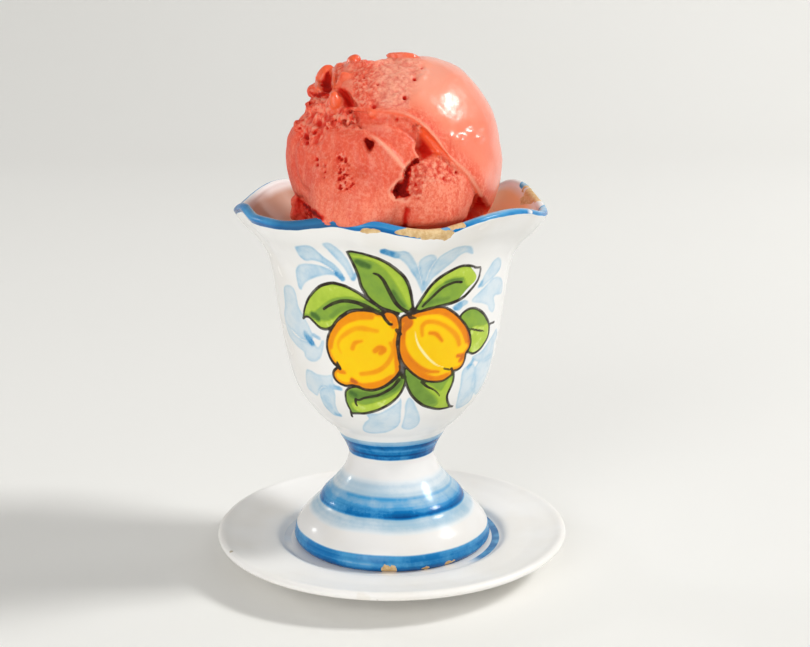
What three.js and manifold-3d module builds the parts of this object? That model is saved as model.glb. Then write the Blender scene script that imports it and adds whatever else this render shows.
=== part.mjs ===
// A gelato cup: a footed cup of glazed, hand-painted earthenware with a ruffled rim, the saucer
// that it stands on, and the gelato that fills it, with one big scoop on top.
// Millimetres, +Z up. The origin is on the table, on the cup's axis, and the front is towards -Y.

import * as THREE from 'three';
import { mergeVertices } from 'three/addons/utils/BufferGeometryUtils.js';
import Module from 'manifold-3d';

const wasm = await Module();
wasm.setup();

// ---- driving dimensions ----

// Saucer: a shallow plate on a foot ring, with a sunk well for the cup's foot
const SAUCER_RADIUS = 62.5;
const SAUCER_RIM_TOP = 12.2;
const SAUCER_FOOT_RADIUS = 37;
const SAUCER_FOOT_WIDTH = 4;
const SAUCER_UNDERSIDE = 2.6;
const WELL_RADIUS = 39;
const WELL_FLOOR = 7.15;
const SAUCER_SEGMENTS = 60;

// Cup: a hollow bell foot, a sharp crease, and a deep bowl that flares out at the lip
const FOOT_BASE = 7.2;
const FOOT_RADIUS = 35;
const FOOT_HOLLOW_RADIUS = 29.6;
const FOOT_HOLLOW_TOP = 40;
const NECK_RADIUS = 15.1;
const NECK_HEIGHT = 38.8;
const CREASE_RADIUS = 18.1;
const CREASE_HEIGHT = 46.2;
const BOWL_FLOOR = 51.2;
const LIP_RADIUS = 51.1;
const LIP_HEIGHT = 126.9;
const LIP_THICKNESS = 3.4;
const CUP_COLUMNS = 72;

// Ruffle: six uneven waves round the lip, which die out down the flare
const RUFFLE_WAVES = 6;
const RUFFLE_DROP = 2.8;
const RUFFLE_FLARE = 0.9;
const RUFFLE_START = 103;
// Where a finger pressed a wave down or pulled it up: degrees from the front, reach and depth
const RUFFLE_PRESSES = [[-60, 9, 0.75], [-34, 13, -0.42], [-12, 6, 0.5], [46, 15, 0.36], [84, 10, -0.2]];

// Gelato: the level in the bowl, and the scoop that is pressed into it, leaning to the front
const GELATO_LEVEL = 110;
const GELATO_RISE = 8;
const GELATO_CLEARANCE = 0.3;
const SCOOP_RADIUS = 34.8;
const SCOOP_CENTRE = new THREE.Vector3(1.3, -14, 144.4);
const SCOOP_TILT = THREE.MathUtils.degToRad(13.4);
const SCOOP_DETAIL = 13;

// ---- materials ----

const glaze = (colour) => new THREE.MeshStandardMaterial({ color: colour, roughness: 0.15, metalness: 0 });
const cupGlaze = glaze(0xe6e3dc);
const saucerGlaze = glaze(0xe2e0d9);
const gelatoFlesh = new THREE.MeshStandardMaterial({ color: 0xe8745c, roughness: 0.4, metalness: 0 });

// ---- shared helpers ----

/** A smooth curve through the given [radius, height] points, as evenly spaced Vector2s. */
function smoothLine(points, samples) {
  const curve = new THREE.SplineCurve(points.map(([radius, height]) => new THREE.Vector2(radius, height)));
  return curve.getSpacedPoints(samples);
}

/** Turns a merged, closed geometry into a manifold solid. */
function toSolid(geometry) {
  const bare = geometry.clone();
  bare.deleteAttribute('normal');
  bare.deleteAttribute('uv');
  const merged = mergeVertices(bare, 1e-4);
  return new wasm.Manifold(new wasm.Mesh({
    numProp: 3,
    vertProperties: Float32Array.from(merged.attributes.position.array),
    triVerts: Uint32Array.from(merged.index.array),
  }));
}

/** The largest of a solid's separate pieces, without the scraps that a cut leaves. */
function largestPiece(solid) {
  return solid.decompose().reduce((best, piece) => (piece.volume() > best.volume() ? piece : best));
}

/** Turns a manifold solid back into a geometry. */
function toGeometry(solid) {
  const mesh = solid.getMesh();
  const geometry = new THREE.BufferGeometry();
  geometry.setAttribute('position', new THREE.BufferAttribute(mesh.vertProperties, 3));
  geometry.setIndex(new THREE.BufferAttribute(mesh.triVerts, 1));
  geometry.computeVertexNormals();
  return geometry;
}

/** A profile of Vector2s that starts and ends on the axis, turned about +Z. */
function turned(profile, segments) {
  const geometry = new THREE.LatheGeometry(profile, segments);
  geometry.rotateX(Math.PI / 2);
  return geometry;
}

function namedMesh(name, geometry, material) {
  const mesh = new THREE.Mesh(geometry, material);
  mesh.name = name;
  return mesh;
}

// ---- saucer ----

/** Half of the saucer's section, from the middle of its underside round the rim to the well. */
function saucerProfile() {
  const footInner = SAUCER_FOOT_RADIUS - SAUCER_FOOT_WIDTH;
  const rim = SAUCER_RADIUS;
  const top = SAUCER_RIM_TOP;
  return [
    [0, SAUCER_UNDERSIDE],
    [footInner - 1, SAUCER_UNDERSIDE],
    [footInner, 0],
    [SAUCER_FOOT_RADIUS, 0],
    [SAUCER_FOOT_RADIUS + 1, 3.2],
    [rim - 14, 5.4],
    [rim - 5, 7.8],
    [rim - 1, 9.3],
    [rim, 10.6],
    [rim - 0.7, top - 0.3],
    [rim - 2, top],
    [rim - 4.2, top - 1],
    [rim - 12, top - 2.4],
    [WELL_RADIUS + 3, 9.3],
    [WELL_RADIUS + 1.6, 8.9],
    [WELL_RADIUS, WELL_FLOOR],
    [0, WELL_FLOOR],
  ].map(([radius, height]) => new THREE.Vector2(radius, height));
}

const saucerGeometry = turned(saucerProfile(), SAUCER_SEGMENTS);

// ---- cup ----

/** How far the ruffle moves the lip at an angle from the front: +1 is down and out. */
function ruffle(angle) {
  const side = THREE.MathUtils.radToDeg(Math.atan2(Math.sin(angle), Math.cos(angle)));
  const pressed = RUFFLE_PRESSES.reduce(
    (sum, [middle, reach, most]) => sum + most * Math.exp(-(((side - middle) / reach) ** 2)), -0.15);
  const depth = 1 - 0.29 * Math.cos(angle) + 0.16 * Math.sin(angle);
  const shift = -2.22 + 0.41 * Math.cos(angle) + 0.12 * Math.sin(angle)
    + 0.36 * Math.cos(2 * angle) + 0.25 * Math.sin(2 * angle);
  return depth * Math.cos(RUFFLE_WAVES * angle + shift) + pressed;
}

/** The closed half section of the cup, from the foot's hollow round the lip to the bowl floor. */
function cupProfile() {
  const footInside = smoothLine([
    [0, FOOT_HOLLOW_TOP],
    [7.5, FOOT_HOLLOW_TOP - 2],
    [11, FOOT_HOLLOW_TOP - 8],
    [18, 25],
    [26.5, 16],
    [FOOT_HOLLOW_RADIUS, FOOT_BASE],
  ], 6);
  const footOutside = smoothLine([
    [FOOT_RADIUS - 1.4, FOOT_BASE],
    [FOOT_RADIUS, FOOT_BASE + 1.8],
    [FOOT_RADIUS - 0.5, 11.4],
    [32.5, 16],
    [23.9, 25],
    [17.2, 32.8],
    [NECK_RADIUS, NECK_HEIGHT],
    [16.2, 43],
    [CREASE_RADIUS, CREASE_HEIGHT],
  ], 11);
  const bowlOutside = smoothLine([
    [CREASE_RADIUS, CREASE_HEIGHT],
    [20.5, 50],
    [26, 55.1],
    [33.3, 66.2],
    [37.6, 84],
    [40.9, 107],
    [44.2, 116],
    [49.4, 122],
    [LIP_RADIUS + LIP_THICKNESS / 2, LIP_HEIGHT],
  ], 12);
  const lip = new THREE.EllipseCurve(
    LIP_RADIUS, LIP_HEIGHT, LIP_THICKNESS / 2, LIP_THICKNESS / 2, 0, Math.PI).getPoints(4);
  const bowlInside = smoothLine([
    [LIP_RADIUS - LIP_THICKNESS / 2, LIP_HEIGHT],
    [46.2, 123],
    [41, 116.8],
    [37.1, 108],
    [33.6, 85],
    [29.2, 67.5],
    [20, 55.6],
    [0, BOWL_FLOOR],
  ], 9);
  return [...footInside, ...footOutside, ...bowlOutside.slice(1), ...lip.slice(1), ...bowlInside.slice(1)];
}

/**
 * The cup as a closed grid of rings and columns, every ring moved by the ruffle in proportion to
 * its height in the flare. `grow` swells the wall on both sides, for cutting what the cup holds.
 */
function cupGeometry(grow = 0) {
  const profile = cupProfile();
  const last = profile.length - 1;
  const swollen = profile.map((point, i) => {
    const along = profile[Math.min(i + 1, last)].clone().sub(profile[Math.max(i - 1, 0)]).normalize();
    return new THREE.Vector2(point.x + along.y * grow, point.y - along.x * grow);
  });
  const positions = [];
  for (const point of swollen.slice(1, last)) {
    const share = THREE.MathUtils.smootherstep(point.y, RUFFLE_START, LIP_HEIGHT);
    for (let column = 0; column < CUP_COLUMNS; column += 1) {
      const angle = (2 * Math.PI * column) / CUP_COLUMNS;
      const move = ruffle(angle) * share;
      const radius = point.x + RUFFLE_FLARE * move;
      positions.push(radius * Math.sin(angle), -radius * Math.cos(angle), point.y - RUFFLE_DROP * move);
    }
  }
  const rings = last - 1;
  const bottomPole = rings * CUP_COLUMNS;
  const topPole = bottomPole + 1;
  positions.push(0, 0, swollen[0].y, 0, 0, swollen[last].y);
  const faces = [];
  const lastRing = (rings - 1) * CUP_COLUMNS;
  for (let column = 0; column < CUP_COLUMNS; column += 1) {
    const next = (column + 1) % CUP_COLUMNS;
    faces.push(bottomPole, next, column);
    faces.push(topPole, lastRing + column, lastRing + next);
    for (let ring = 0; ring < rings - 1; ring += 1) {
      const low = ring * CUP_COLUMNS;
      const high = low + CUP_COLUMNS;
      faces.push(low + column, low + next, high + next);
      faces.push(low + column, high + next, high + column);
    }
  }
  const geometry = new THREE.BufferGeometry();
  geometry.setAttribute('position', new THREE.Float32BufferAttribute(positions, 3));
  geometry.setIndex(faces);
  geometry.computeVertexNormals();
  return geometry;
}

// ---- gelato ----

// The scoop's face looks forwards and a little up. Places on it are millimetres to the right and
// up from its middle.
const FACE_RIGHT = new THREE.Vector3(1, 0, 0);
const FACE_UP = new THREE.Vector3(0, Math.sin(SCOOP_TILT), Math.cos(SCOOP_TILT));
const FACE_OUT = new THREE.Vector3(0, -Math.cos(SCOOP_TILT), Math.sin(SCOOP_TILT));

// The lip of the outer layer, which curls over the front of the scoop from upper left to right
const SCOOP_LIP = new THREE.QuadraticBezierCurve(
  new THREE.Vector2(-14.5, 17), new THREE.Vector2(12.5, 17.5), new THREE.Vector2(29, -13)).getPoints(24);
const LIP_RIDGE = 1.2;
const LAYER_DEPTH = 2.6;

// Lumps (height above zero) and hollows (below zero): place on the face, size and height
const SCOOP_LUMPS = [
  { place: [-22, 26], size: 4.5, height: 2.6 },
  { place: [-13.5, 31.5], size: 3.5, height: 2.4 },
  { place: [-27.5, 20], size: 4, height: 1.2 },
  { place: [4, 34], size: 4, height: 1.2 },
  { place: [-6, 33], size: 6, height: -2.4 },
  { place: [26, 25], size: 14, height: 1.8 },
  { place: [-34, 3], size: 9, height: 1 },
  { place: [-16, 18.5], size: 3, height: -3.5 },
  { place: [-16, -4], size: 13, height: 1.2 },
  { place: [-8, 3], size: 5, height: 1 },
  { place: [10.6, 4.6], size: 3.6, height: -4.5 },
  { place: [2, -10], size: 3.2, height: -4 },
  { place: [4, -19], size: 3, height: -2 },
  { place: [13.5, -12], size: 9, height: 2.4 },
  { place: [27, -17.5], size: 5, height: -4 },
  { place: [-27, -17.5], size: 3.5, height: -2.2 },
  { place: [-31.5, -15.2], size: 4, height: 3 },
];

// Skirt: the scoop's lower front spreads out and laps over the lip of the cup
const SKIRT_ANGLE = THREE.MathUtils.degToRad(-16);
const SKIRT_SPREAD = THREE.MathUtils.degToRad(12.5);
const SKIRT_HEIGHT = 130;
const SKIRT_DEPTH = 4.6;
const SKIRT_REACH = 12.5;

/** A point on the plain ball, from its place on the face. */
function onBall([right, up]) {
  const out = Math.sqrt(Math.max(0, SCOOP_RADIUS ** 2 - right ** 2 - up ** 2));
  return new THREE.Vector3()
    .addScaledVector(FACE_RIGHT, right)
    .addScaledVector(FACE_UP, up)
    .addScaledVector(FACE_OUT, out)
    .setLength(SCOOP_RADIUS);
}

const bell = (distance, size) => Math.exp(-((distance / size) ** 2));

/** Distance from the lip, positive on the side of the layer underneath it. */
function pastLip(right, up) {
  let best = Infinity;
  let side = 1;
  for (let i = 1; i < SCOOP_LIP.length; i += 1) {
    const start = SCOOP_LIP[i - 1];
    const run = SCOOP_LIP[i].clone().sub(start);
    const reach = new THREE.Vector2(right, up).sub(start);
    const share = THREE.MathUtils.clamp(reach.dot(run) / run.lengthSq(), 0, 1);
    const gap = reach.clone().addScaledVector(run, -share);
    if (gap.length() < best) {
      best = gap.length();
      side = run.cross(reach) < 0 ? 1 : -1;
    }
  }
  return best * side;
}

/** How far the scoop's surface stands off the plain ball at a point of that ball. */
function scoopRelief(point) {
  const right = point.dot(FACE_RIGHT);
  const up = point.dot(FACE_UP);
  const facing = THREE.MathUtils.smoothstep(point.dot(FACE_OUT), 0, 12);
  const past = pastLip(right, up);
  const step = THREE.MathUtils.smoothstep(past, -1, 3.5) * bell(past, 16);
  let relief = facing * (LIP_RIDGE * bell(past + 1.2, 2.2) - LAYER_DEPTH * step);
  for (const { place, size, height } of SCOOP_LUMPS) {
    relief += height * bell(point.distanceTo(onBall(place)), size);
  }
  return relief;
}

/** The skirt's push along the ground, away from the cup's axis. */
function skirtPush(point) {
  const angle = Math.atan2(point.x, -point.y);
  return SKIRT_REACH * bell(angle - SKIRT_ANGLE, SKIRT_SPREAD) * bell(point.z - SKIRT_HEIGHT, SKIRT_DEPTH);
}

function scoopGeometry() {
  const geometry = new THREE.IcosahedronGeometry(SCOOP_RADIUS, SCOOP_DETAIL);
  const place = geometry.attributes.position;
  const point = new THREE.Vector3();
  for (let i = 0; i < place.count; i += 1) {
    point.fromBufferAttribute(place, i);
    point.setLength(SCOOP_RADIUS + scoopRelief(point)).add(SCOOP_CENTRE);
    const away = new THREE.Vector3(point.x, point.y, 0).normalize();
    point.addScaledVector(away, skirtPush(point));
    place.setXYZ(i, point.x, point.y, point.z);
  }
  return geometry;
}

/**
 * The gelato under the scoop, out into the wall, where the cup cuts it. Its top is uneven and
 * rises to the front, where the scoop has squeezed it up the wall.
 */
function fillGeometry() {
  const profile = smoothLine([
    [0, BOWL_FLOOR - 2],
    [20.5, 53.5],
    [31, 67],
    [35.5, 85],
    [39, 106],
    [39.3, GELATO_LEVEL],
    [28, GELATO_LEVEL + 1.5],
    [0, GELATO_LEVEL + 3],
  ], 15);
  profile[0].x = 0;
  profile.at(-1).x = 0;
  const geometry = turned(profile, 40);
  const place = geometry.attributes.position;
  for (let i = 0; i < place.count; i += 1) {
    const nearTop = THREE.MathUtils.smoothstep(place.getZ(i), GELATO_LEVEL - 15, GELATO_LEVEL);
    const front = THREE.MathUtils.smoothstep(-place.getY(i), -5, 36);
    const swell = Math.sin(place.getX(i) * 0.21) * Math.cos(place.getY(i) * 0.17);
    const spread = 1 + 0.09 * front * nearTop;
    const height = place.getZ(i) + nearTop * (GELATO_RISE * front + swell);
    place.setXYZ(i, place.getX(i) * spread, place.getY(i) * spread, height);
  }
  return geometry;
}

const gelato = largestPiece(toSolid(scoopGeometry())
  .add(toSolid(fillGeometry()))
  .subtract(toSolid(cupGeometry(GELATO_CLEARANCE))));

// ---- the object ----

const gelatoCup = new THREE.Group();
gelatoCup.add(namedMesh('saucer', saucerGeometry, saucerGlaze));
gelatoCup.add(namedMesh('cup', cupGeometry(), cupGlaze));
gelatoCup.add(namedMesh('gelato', toGeometry(gelato), gelatoFlesh));

export default gelatoCup;
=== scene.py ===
# A cup of fruit gelato on its saucer, in a plain studio: a footed cup of glazed, hand-painted
# earthenware with a ruffled rim, the saucer, and one big scoop pressed into the gelato below it.
import math

import bpy
import numpy as np
from mathutils import Matrix, Vector


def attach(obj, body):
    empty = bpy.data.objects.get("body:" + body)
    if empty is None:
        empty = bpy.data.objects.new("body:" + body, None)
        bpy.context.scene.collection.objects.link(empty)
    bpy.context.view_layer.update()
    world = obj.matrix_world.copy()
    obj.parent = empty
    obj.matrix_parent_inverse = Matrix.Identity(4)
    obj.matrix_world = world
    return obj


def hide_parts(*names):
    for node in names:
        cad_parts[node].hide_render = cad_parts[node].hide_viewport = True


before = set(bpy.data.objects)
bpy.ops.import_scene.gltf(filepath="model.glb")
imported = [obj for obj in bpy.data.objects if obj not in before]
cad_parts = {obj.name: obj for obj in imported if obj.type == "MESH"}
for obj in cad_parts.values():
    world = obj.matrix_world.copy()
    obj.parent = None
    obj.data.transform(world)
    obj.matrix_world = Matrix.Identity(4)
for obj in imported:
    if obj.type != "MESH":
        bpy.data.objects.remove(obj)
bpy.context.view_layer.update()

# ---- camera ----
# A long lens, a little above the rim and half a metre in front of the cup's axis. It looks down
# far enough to show the inside of the rim, the top of the saucer and the open floor around them.
CAMERA_PLACE = (0.0, -0.47375, 0.1984)
CAMERA_DOWN = math.radians(13.42)
CAMERA_RIGHT = math.radians(0.59)
CAMERA_ROLL = math.radians(-0.19)

camera = bpy.data.objects.new("camera", bpy.data.cameras.new("camera"))
camera.data.lens = 62.22
camera.data.sensor_width = 36.0
camera.data.clip_start = 0.01
camera.matrix_world = (
    Matrix.Translation(CAMERA_PLACE)
    @ Matrix.Rotation(-CAMERA_RIGHT, 4, "Z")
    @ Matrix.Rotation(math.pi / 2 - CAMERA_DOWN, 4, "X")
    @ Matrix.Rotation(CAMERA_ROLL, 4, "Z")
)
bpy.context.collection.objects.link(camera)
bpy.context.scene.camera = camera
bpy.context.scene.view_settings.view_transform = "Standard"

# ---- studio ----
# One seamless sweep of matt, warm white board: a floor that curves up into a wall far behind. A
# softbox stands on the right and lights the cup, with a wide one at the front left to fill. A third
# lights the wall, and a small lamp at the back left puts glints on the glaze.
MM = 0.001
FLOOR_REACH = 3000.0
WALL_DISTANCE = 1200.0
WALL_CURVE = 1500.0
WALL_TOP = 2600.0


def colour(red, green, blue):
    """A colour given from 0 to 255 as the eye sees it, as the linear values of a shader."""
    seen = np.array([red, green, blue]) / 255
    linear = np.where(seen <= 0.04045, seen / 12.92, ((seen + 0.055) / 1.055) ** 2.4)
    return (*linear, 1.0)


def new_piece(name, points, faces, material):
    """A smooth-shaded mesh object from an array of points in millimetres and lists of faces."""
    mesh = bpy.data.meshes.new(name)
    mesh.from_pydata((np.asarray(points) * MM).tolist(), [], faces)
    mesh.validate()
    mesh.shade_smooth()
    mesh.materials.append(material)
    piece = bpy.data.objects.new(name, mesh)
    bpy.context.collection.objects.link(piece)
    return piece


def new_material(name):
    """A material with its Principled BSDF: (material, its node tree, the shader node)."""
    material = bpy.data.materials.new(name)
    material.use_nodes = True
    return material, material.node_tree, material.node_tree.nodes["Principled BSDF"]


def plug(made, sockets):
    """Gives each named socket of a shader node a value, or links it to another node's output."""
    for socket, value in sockets.items():
        if isinstance(value, bpy.types.NodeSocket):
            made.id_data.links.new(value, made.inputs[socket])
        else:
            made.inputs[socket].default_value = value


def node(tree, kind, sockets, **settings):
    """One new shader node, with its settings and its sockets."""
    made = tree.nodes.new("ShaderNode" + kind)
    for setting, value in settings.items():
        setattr(made, setting, value)
    plug(made, sockets)
    return made


def noise(place, scale, detail=2.0, roughness=0.5):
    """Smooth noise from 0 to 1, mostly near 0.5, at a place times a scale."""
    sockets = {"Vector": place, "Scale": scale, "Detail": detail, "Roughness": roughness}
    return node(place.id_data, "TexNoise", sockets).outputs["Fac"]


def joined(kind, sockets, **settings):
    """One new shader node in the tree that its linked sockets are in."""
    tree = next(value.id_data for value in sockets.values() if isinstance(value, bpy.types.NodeSocket))
    return node(tree, kind, sockets, **settings)


def mixed(share, under, over, kind="MIX"):
    """The colour `over` laid on the colour `under`, as far as the share says."""
    return joined("Mix", {0: share, 6: under, 7: over}, data_type="RGBA", blend_type=kind).outputs[2]


def calc(operation, first, second=0.0, third=0.0):
    """One step of arithmetic on numbers."""
    return joined("Math", {0: first, 1: second, 2: third}, operation=operation).outputs[0]


def ranged(value, low, high, start=0.0, end=1.0):
    """start where the value is at low, end where it is at high, and smooth between them."""
    sockets = {"Value": value, 1: low, 2: high, 3: start, 4: end}
    return joined("MapRange", sockets, interpolation_type="SMOOTHSTEP").outputs[0]


board, board_tree, board_shader = new_material("studio_board")
board_place = node(board_tree, "TexCoord", {}).outputs["Object"]
board_mottle = noise(board_place, 1.6)
board_colour = mixed(board_mottle, colour(246, 245, 242), colour(243, 242, 238))
plug(board_shader, {"Base Color": board_colour, "Roughness": 0.8, "Specular IOR Level": 0.1})

bend = np.linspace(0, math.pi / 2, 24)
sweep_y = np.concatenate([[-FLOOR_REACH], WALL_DISTANCE + WALL_CURVE * np.sin(bend),
                          [WALL_DISTANCE + WALL_CURVE]])
sweep_z = np.concatenate([[0], WALL_CURVE * (1 - np.cos(bend)), [WALL_TOP]])
sweep_points = [(x, y, z) for x in (-FLOOR_REACH, FLOOR_REACH) for y, z in zip(sweep_y, sweep_z)]
sweep_rows = len(sweep_y)
sweep_faces = [(i, i + sweep_rows, i + sweep_rows + 1, i + 1) for i in range(sweep_rows - 1)]
sweep = new_piece("studio_sweep", sweep_points, sweep_faces, board)


def softbox(name, place, aim, size, watts, tint):
    """A square area light at a place in metres, facing the aim."""
    lamp = bpy.data.lights.new(name, "AREA")
    lamp.shape = "SQUARE"
    lamp.size = size
    lamp.energy = watts
    lamp.color = tint
    holder = bpy.data.objects.new(name, lamp)
    holder.location = place
    holder.rotation_euler = (Vector(aim) - Vector(place)).to_track_quat("-Z", "Y").to_euler()
    bpy.context.collection.objects.link(holder)


KEY_DIRECTION = Vector((0.76, -0.01, 0.65))
CUP_MIDDLE = Vector((0.0, 0.0, 0.11))
softbox("key_softbox", CUP_MIDDLE + 2.4 * KEY_DIRECTION, CUP_MIDDLE, 0.46, 34.0, (1.0, 1.0, 0.99))
softbox("front_softbox", (-0.65, -1.6, 0.65), CUP_MIDDLE, 1.2, 14.0, (1.0, 0.995, 0.985))
softbox("wall_softbox", (1.6, 0.9, 1.7), (0.4, 3.0, 0.9), 1.0, 10.0, (1.0, 0.99, 0.98))
softbox("back_left_lamp", (-1.8, 0.85, 0.78), CUP_MIDDLE, 0.2, 3.6, (1.0, 1.0, 1.0))

world = bpy.data.worlds.new("studio_air")
world.use_nodes = True
world_up = joined("SeparateXYZ", {0: node(world.node_tree, "TexCoord", {}).outputs["Generated"]})
world_strength = ranged(world_up.outputs["Z"], 0.1, 0.9, 0.52, 0.3)
plug(world.node_tree.nodes["Background"], {"Color": (1.0, 0.995, 0.98, 1.0), "Strength": world_strength})
bpy.context.scene.world = world

# ---- saucer ----
# A small earthenware plate, thrown thick, with a foot ring below and a sunk well that holds the
# cup's foot. White tin glaze all over, with one thin blue ring brushed round inside the well.
SAUCER_PROFILE = [
    (0, 2.6), (32, 2.6), (33, 0), (37, 0), (38, 3.2), (48.5, 5.4), (57.5, 7.8), (61.5, 9.3),
    (62.5, 10.6), (61.8, 11.9), (60.5, 12.2), (58.3, 11.2), (50.5, 9.8), (42, 9.3), (40.6, 8.9),
    (39, 7.15), (0, 7.15),
]
SAUCER_STEP = 0.75
# Marks in the glaze: place and size in metres, how strong, and colour
SAUCER_MARKS = [
    ((-0.0550, -0.0262, 0.0121), 0.0009, 0.8, (0.40, 0.32, 0.17, 1.0)),
    ((-0.0095, -0.0616, 0.0098), 0.003, 0.14, (0.6, 0.48, 0.27, 1.0)),
    ((-0.0049, -0.0618, 0.0096), 0.0006, 0.45, (0.4, 0.34, 0.26, 1.0)),
]
SAUCER_COLUMNS = 240


def stepped(line, step):
    """The same run of points in the plane, walked in even steps of about the given length."""
    line = np.asarray(line, float)
    length = np.concatenate([[0], np.cumsum(np.hypot(*np.diff(line, axis=0).T))])
    walk = np.linspace(0, length[-1], max(2, round(length[-1] / step) + 1))
    return np.stack([np.interp(walk, length, line[:, 0]), np.interp(walk, length, line[:, 1])], 1)


def softened(line, passes):
    """A run of points with its corners rounded: each pass moves a point halfway to the middle of
    its two neighbours, and the ends stay."""
    line = line.copy()
    for _ in range(passes):
        line[1:-1] = 0.5 * line[1:-1] + 0.25 * (line[:-2] + line[2:])
    return line


def round_faces(rows, columns):
    """Faces of a closed surface of rings, each of `columns` points, with a pole at either end. The
    poles are the last two points."""
    index = np.arange(rows * columns).reshape(rows, columns)
    onward = np.roll(index, -1, axis=1)
    quads = np.stack([index[:-1], onward[:-1], onward[1:], index[1:]], -1).reshape(-1, 4)
    first = np.stack([np.full(columns, rows * columns), onward[0], index[0]], 1)
    last = np.stack([np.full(columns, rows * columns + 1), index[-1], onward[-1]], 1)
    return quads.tolist() + first.tolist() + last.tolist()


def turned(profile, angles):
    """Rings of points: a profile of (radius, height) turned through angles from the front."""
    radius, height = profile[:, 0, None], profile[:, 1, None]
    rings = [radius * np.sin(angles), -radius * np.cos(angles), height + 0 * angles]
    return np.stack(rings, -1)


def with_poles(rings, low, high):
    """The points of some rings as rows, then the two poles: points on the axis at two heights."""
    return np.vstack([rings.reshape(-1, 3), [(0, 0, low), (0, 0, high)]])


def bearing_of(axes):
    """The angle round the upright axis in radians: 0 at the front, and more to the right."""
    return calc("ARCTAN2", axes["X"], calc("MULTIPLY", axes["Y"], -1.0))


def between(value, low, low_end, high, high_end):
    """1 between two soft limits, and 0 outside them."""
    rise = ranged(value, low, low_end)
    return calc("MULTIPLY", rise, ranged(value, high, high_end, 1.0, 0.0))


# Glaze: the skin that cup and saucer share. It pools unevenly over the clay, so it is a little
# warmer where thin, and its surface has slow waves, a fine orange peel and a few pinholes.
glaze_group = bpy.data.node_groups.new("tin_glaze", "ShaderNodeTree")
for socket, way, kind in (("Place", "INPUT", "Vector"), ("Colour", "INPUT", "Color"),
                          ("Colour", "OUTPUT", "Color"), ("Roughness", "OUTPUT", "Float"),
                          ("Height", "OUTPUT", "Float")):
    glaze_group.interface.new_socket(socket, in_out=way, socket_type="NodeSocket" + kind)
glaze_in = glaze_group.nodes.new("NodeGroupInput").outputs
pooling = noise(glaze_in["Place"], 38.0, 3.0)
warm_share = ranged(pooling, 0.42, 0.72, 0.0, 0.35)
glaze_tint = mixed(warm_share, glaze_in["Colour"], colour(242, 237, 228), "MULTIPLY")
waves = noise(glaze_in["Place"], 120.0, 1.0)
peel = noise(glaze_in["Place"], 900.0, 1.0)
speckle = joined("TexVoronoi", {"Vector": glaze_in["Place"], "Scale": 150.0})
pinhole = ranged(speckle.outputs["Distance"], 0.03, 0.09, 1.0, 0.0)
rare = ranged(noise(glaze_in["Place"], 60.0), 0.56, 0.62)
pinhole = calc("MULTIPLY", pinhole, rare)
glaze_height = calc("MULTIPLY_ADD", peel, 0.05, waves)
glaze_height = calc("MULTIPLY_ADD", pinhole, -0.25, glaze_height)
glaze_roughness = ranged(pooling, 0.3, 0.75, 0.16, 0.28)
plug(glaze_group.nodes.new("NodeGroupOutput"),
     {"Colour": glaze_tint, "Roughness": glaze_roughness, "Height": glaze_height})

WHITE_GLAZE = colour(241, 240, 238)


def glazed(shader, place, paint):
    """Lays the tin glaze on a material: a painted colour under a glossy, slightly wavy skin.
    Returns how rough the skin is."""
    skin = joined("Group", {"Place": place, "Colour": paint}, node_tree=glaze_group).outputs
    bump = joined("Bump", {"Height": skin["Height"], "Strength": 0.35, "Distance": 0.0004})
    plug(shader, {"Base Color": skin["Colour"], "Roughness": skin["Roughness"],
                  "Normal": bump.outputs["Normal"], "Coat Weight": 0.12, "Coat Roughness": 0.1})
    return skin["Roughness"]


saucer_glaze, saucer_tree, saucer_shader = new_material("saucer_glaze")
saucer_place = node(saucer_tree, "TexCoord", {}).outputs["Object"]
saucer_axes = joined("SeparateXYZ", {0: saucer_place}).outputs
reach_squared = calc("ADD", calc("POWER", saucer_axes["X"], 2.0), calc("POWER", saucer_axes["Y"], 2.0))
saucer_reach = calc("SQRT", reach_squared)
ring_wobble = noise(saucer_place, 45.0)
ring_reach = calc("MULTIPLY_ADD", ring_wobble, 0.0012, saucer_reach)
ring_share = between(ring_reach, 0.0366, 0.0369, 0.0392, 0.0395)
ring_tone = noise(saucer_place, 160.0)
ring_blue = mixed(ranged(ring_tone, 0.35, 0.65), colour(48, 120, 176), colour(104, 170, 212))
ring_low = ranged(saucer_axes["Z"], 0.0092, 0.0098, 1.0, 0.0)
ring_share = calc("MULTIPLY", ring_share, ring_low)
ring_bearing = bearing_of(saucer_axes)
ring_right = ranged(ring_bearing, 0.75, 1.0)
ring_left = ranged(ring_bearing, -1.25, -1.5, 0.0, 0.25)
ring_share = calc("MULTIPLY", ring_share, calc("MAXIMUM", ring_right, ring_left))
# Painted light: the saucer's white glaze is a little lighter than the cup's
saucer_paint = mixed(ring_share, colour(246, 244, 241), ring_blue)
mark_noise = noise(saucer_place, 420.0, 2.0)
for mark_place, mark_size, mark_share, mark_colour in SAUCER_MARKS:
    gap = joined("VectorMath", {0: saucer_place, 1: mark_place}, operation="DISTANCE")
    gap = calc("MULTIPLY_ADD", mark_noise, mark_size, gap.outputs["Value"])
    share = ranged(gap, 1.1 * mark_size, 1.6 * mark_size, mark_share, 0.0)
    saucer_paint = mixed(share, saucer_paint, mark_colour)
saucer_roughness = calc("ADD", glazed(saucer_shader, saucer_place, saucer_paint), 0.2)
plug(saucer_shader, {"Coat Weight": 0.0, "Roughness": saucer_roughness})

saucer_profile = softened(stepped(SAUCER_PROFILE, SAUCER_STEP), 3)
saucer_angles = np.linspace(0, 2 * math.pi, SAUCER_COLUMNS, endpoint=False)
saucer_rings = turned(saucer_profile[1:-1], saucer_angles)
saucer_points = with_poles(saucer_rings, saucer_profile[0, 1], saucer_profile[-1, 1])
saucer = new_piece("saucer_glazed", saucer_points,
                   round_faces(len(saucer_rings), SAUCER_COLUMNS), saucer_glaze)
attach(saucer, "root")
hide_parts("saucer")

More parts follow.
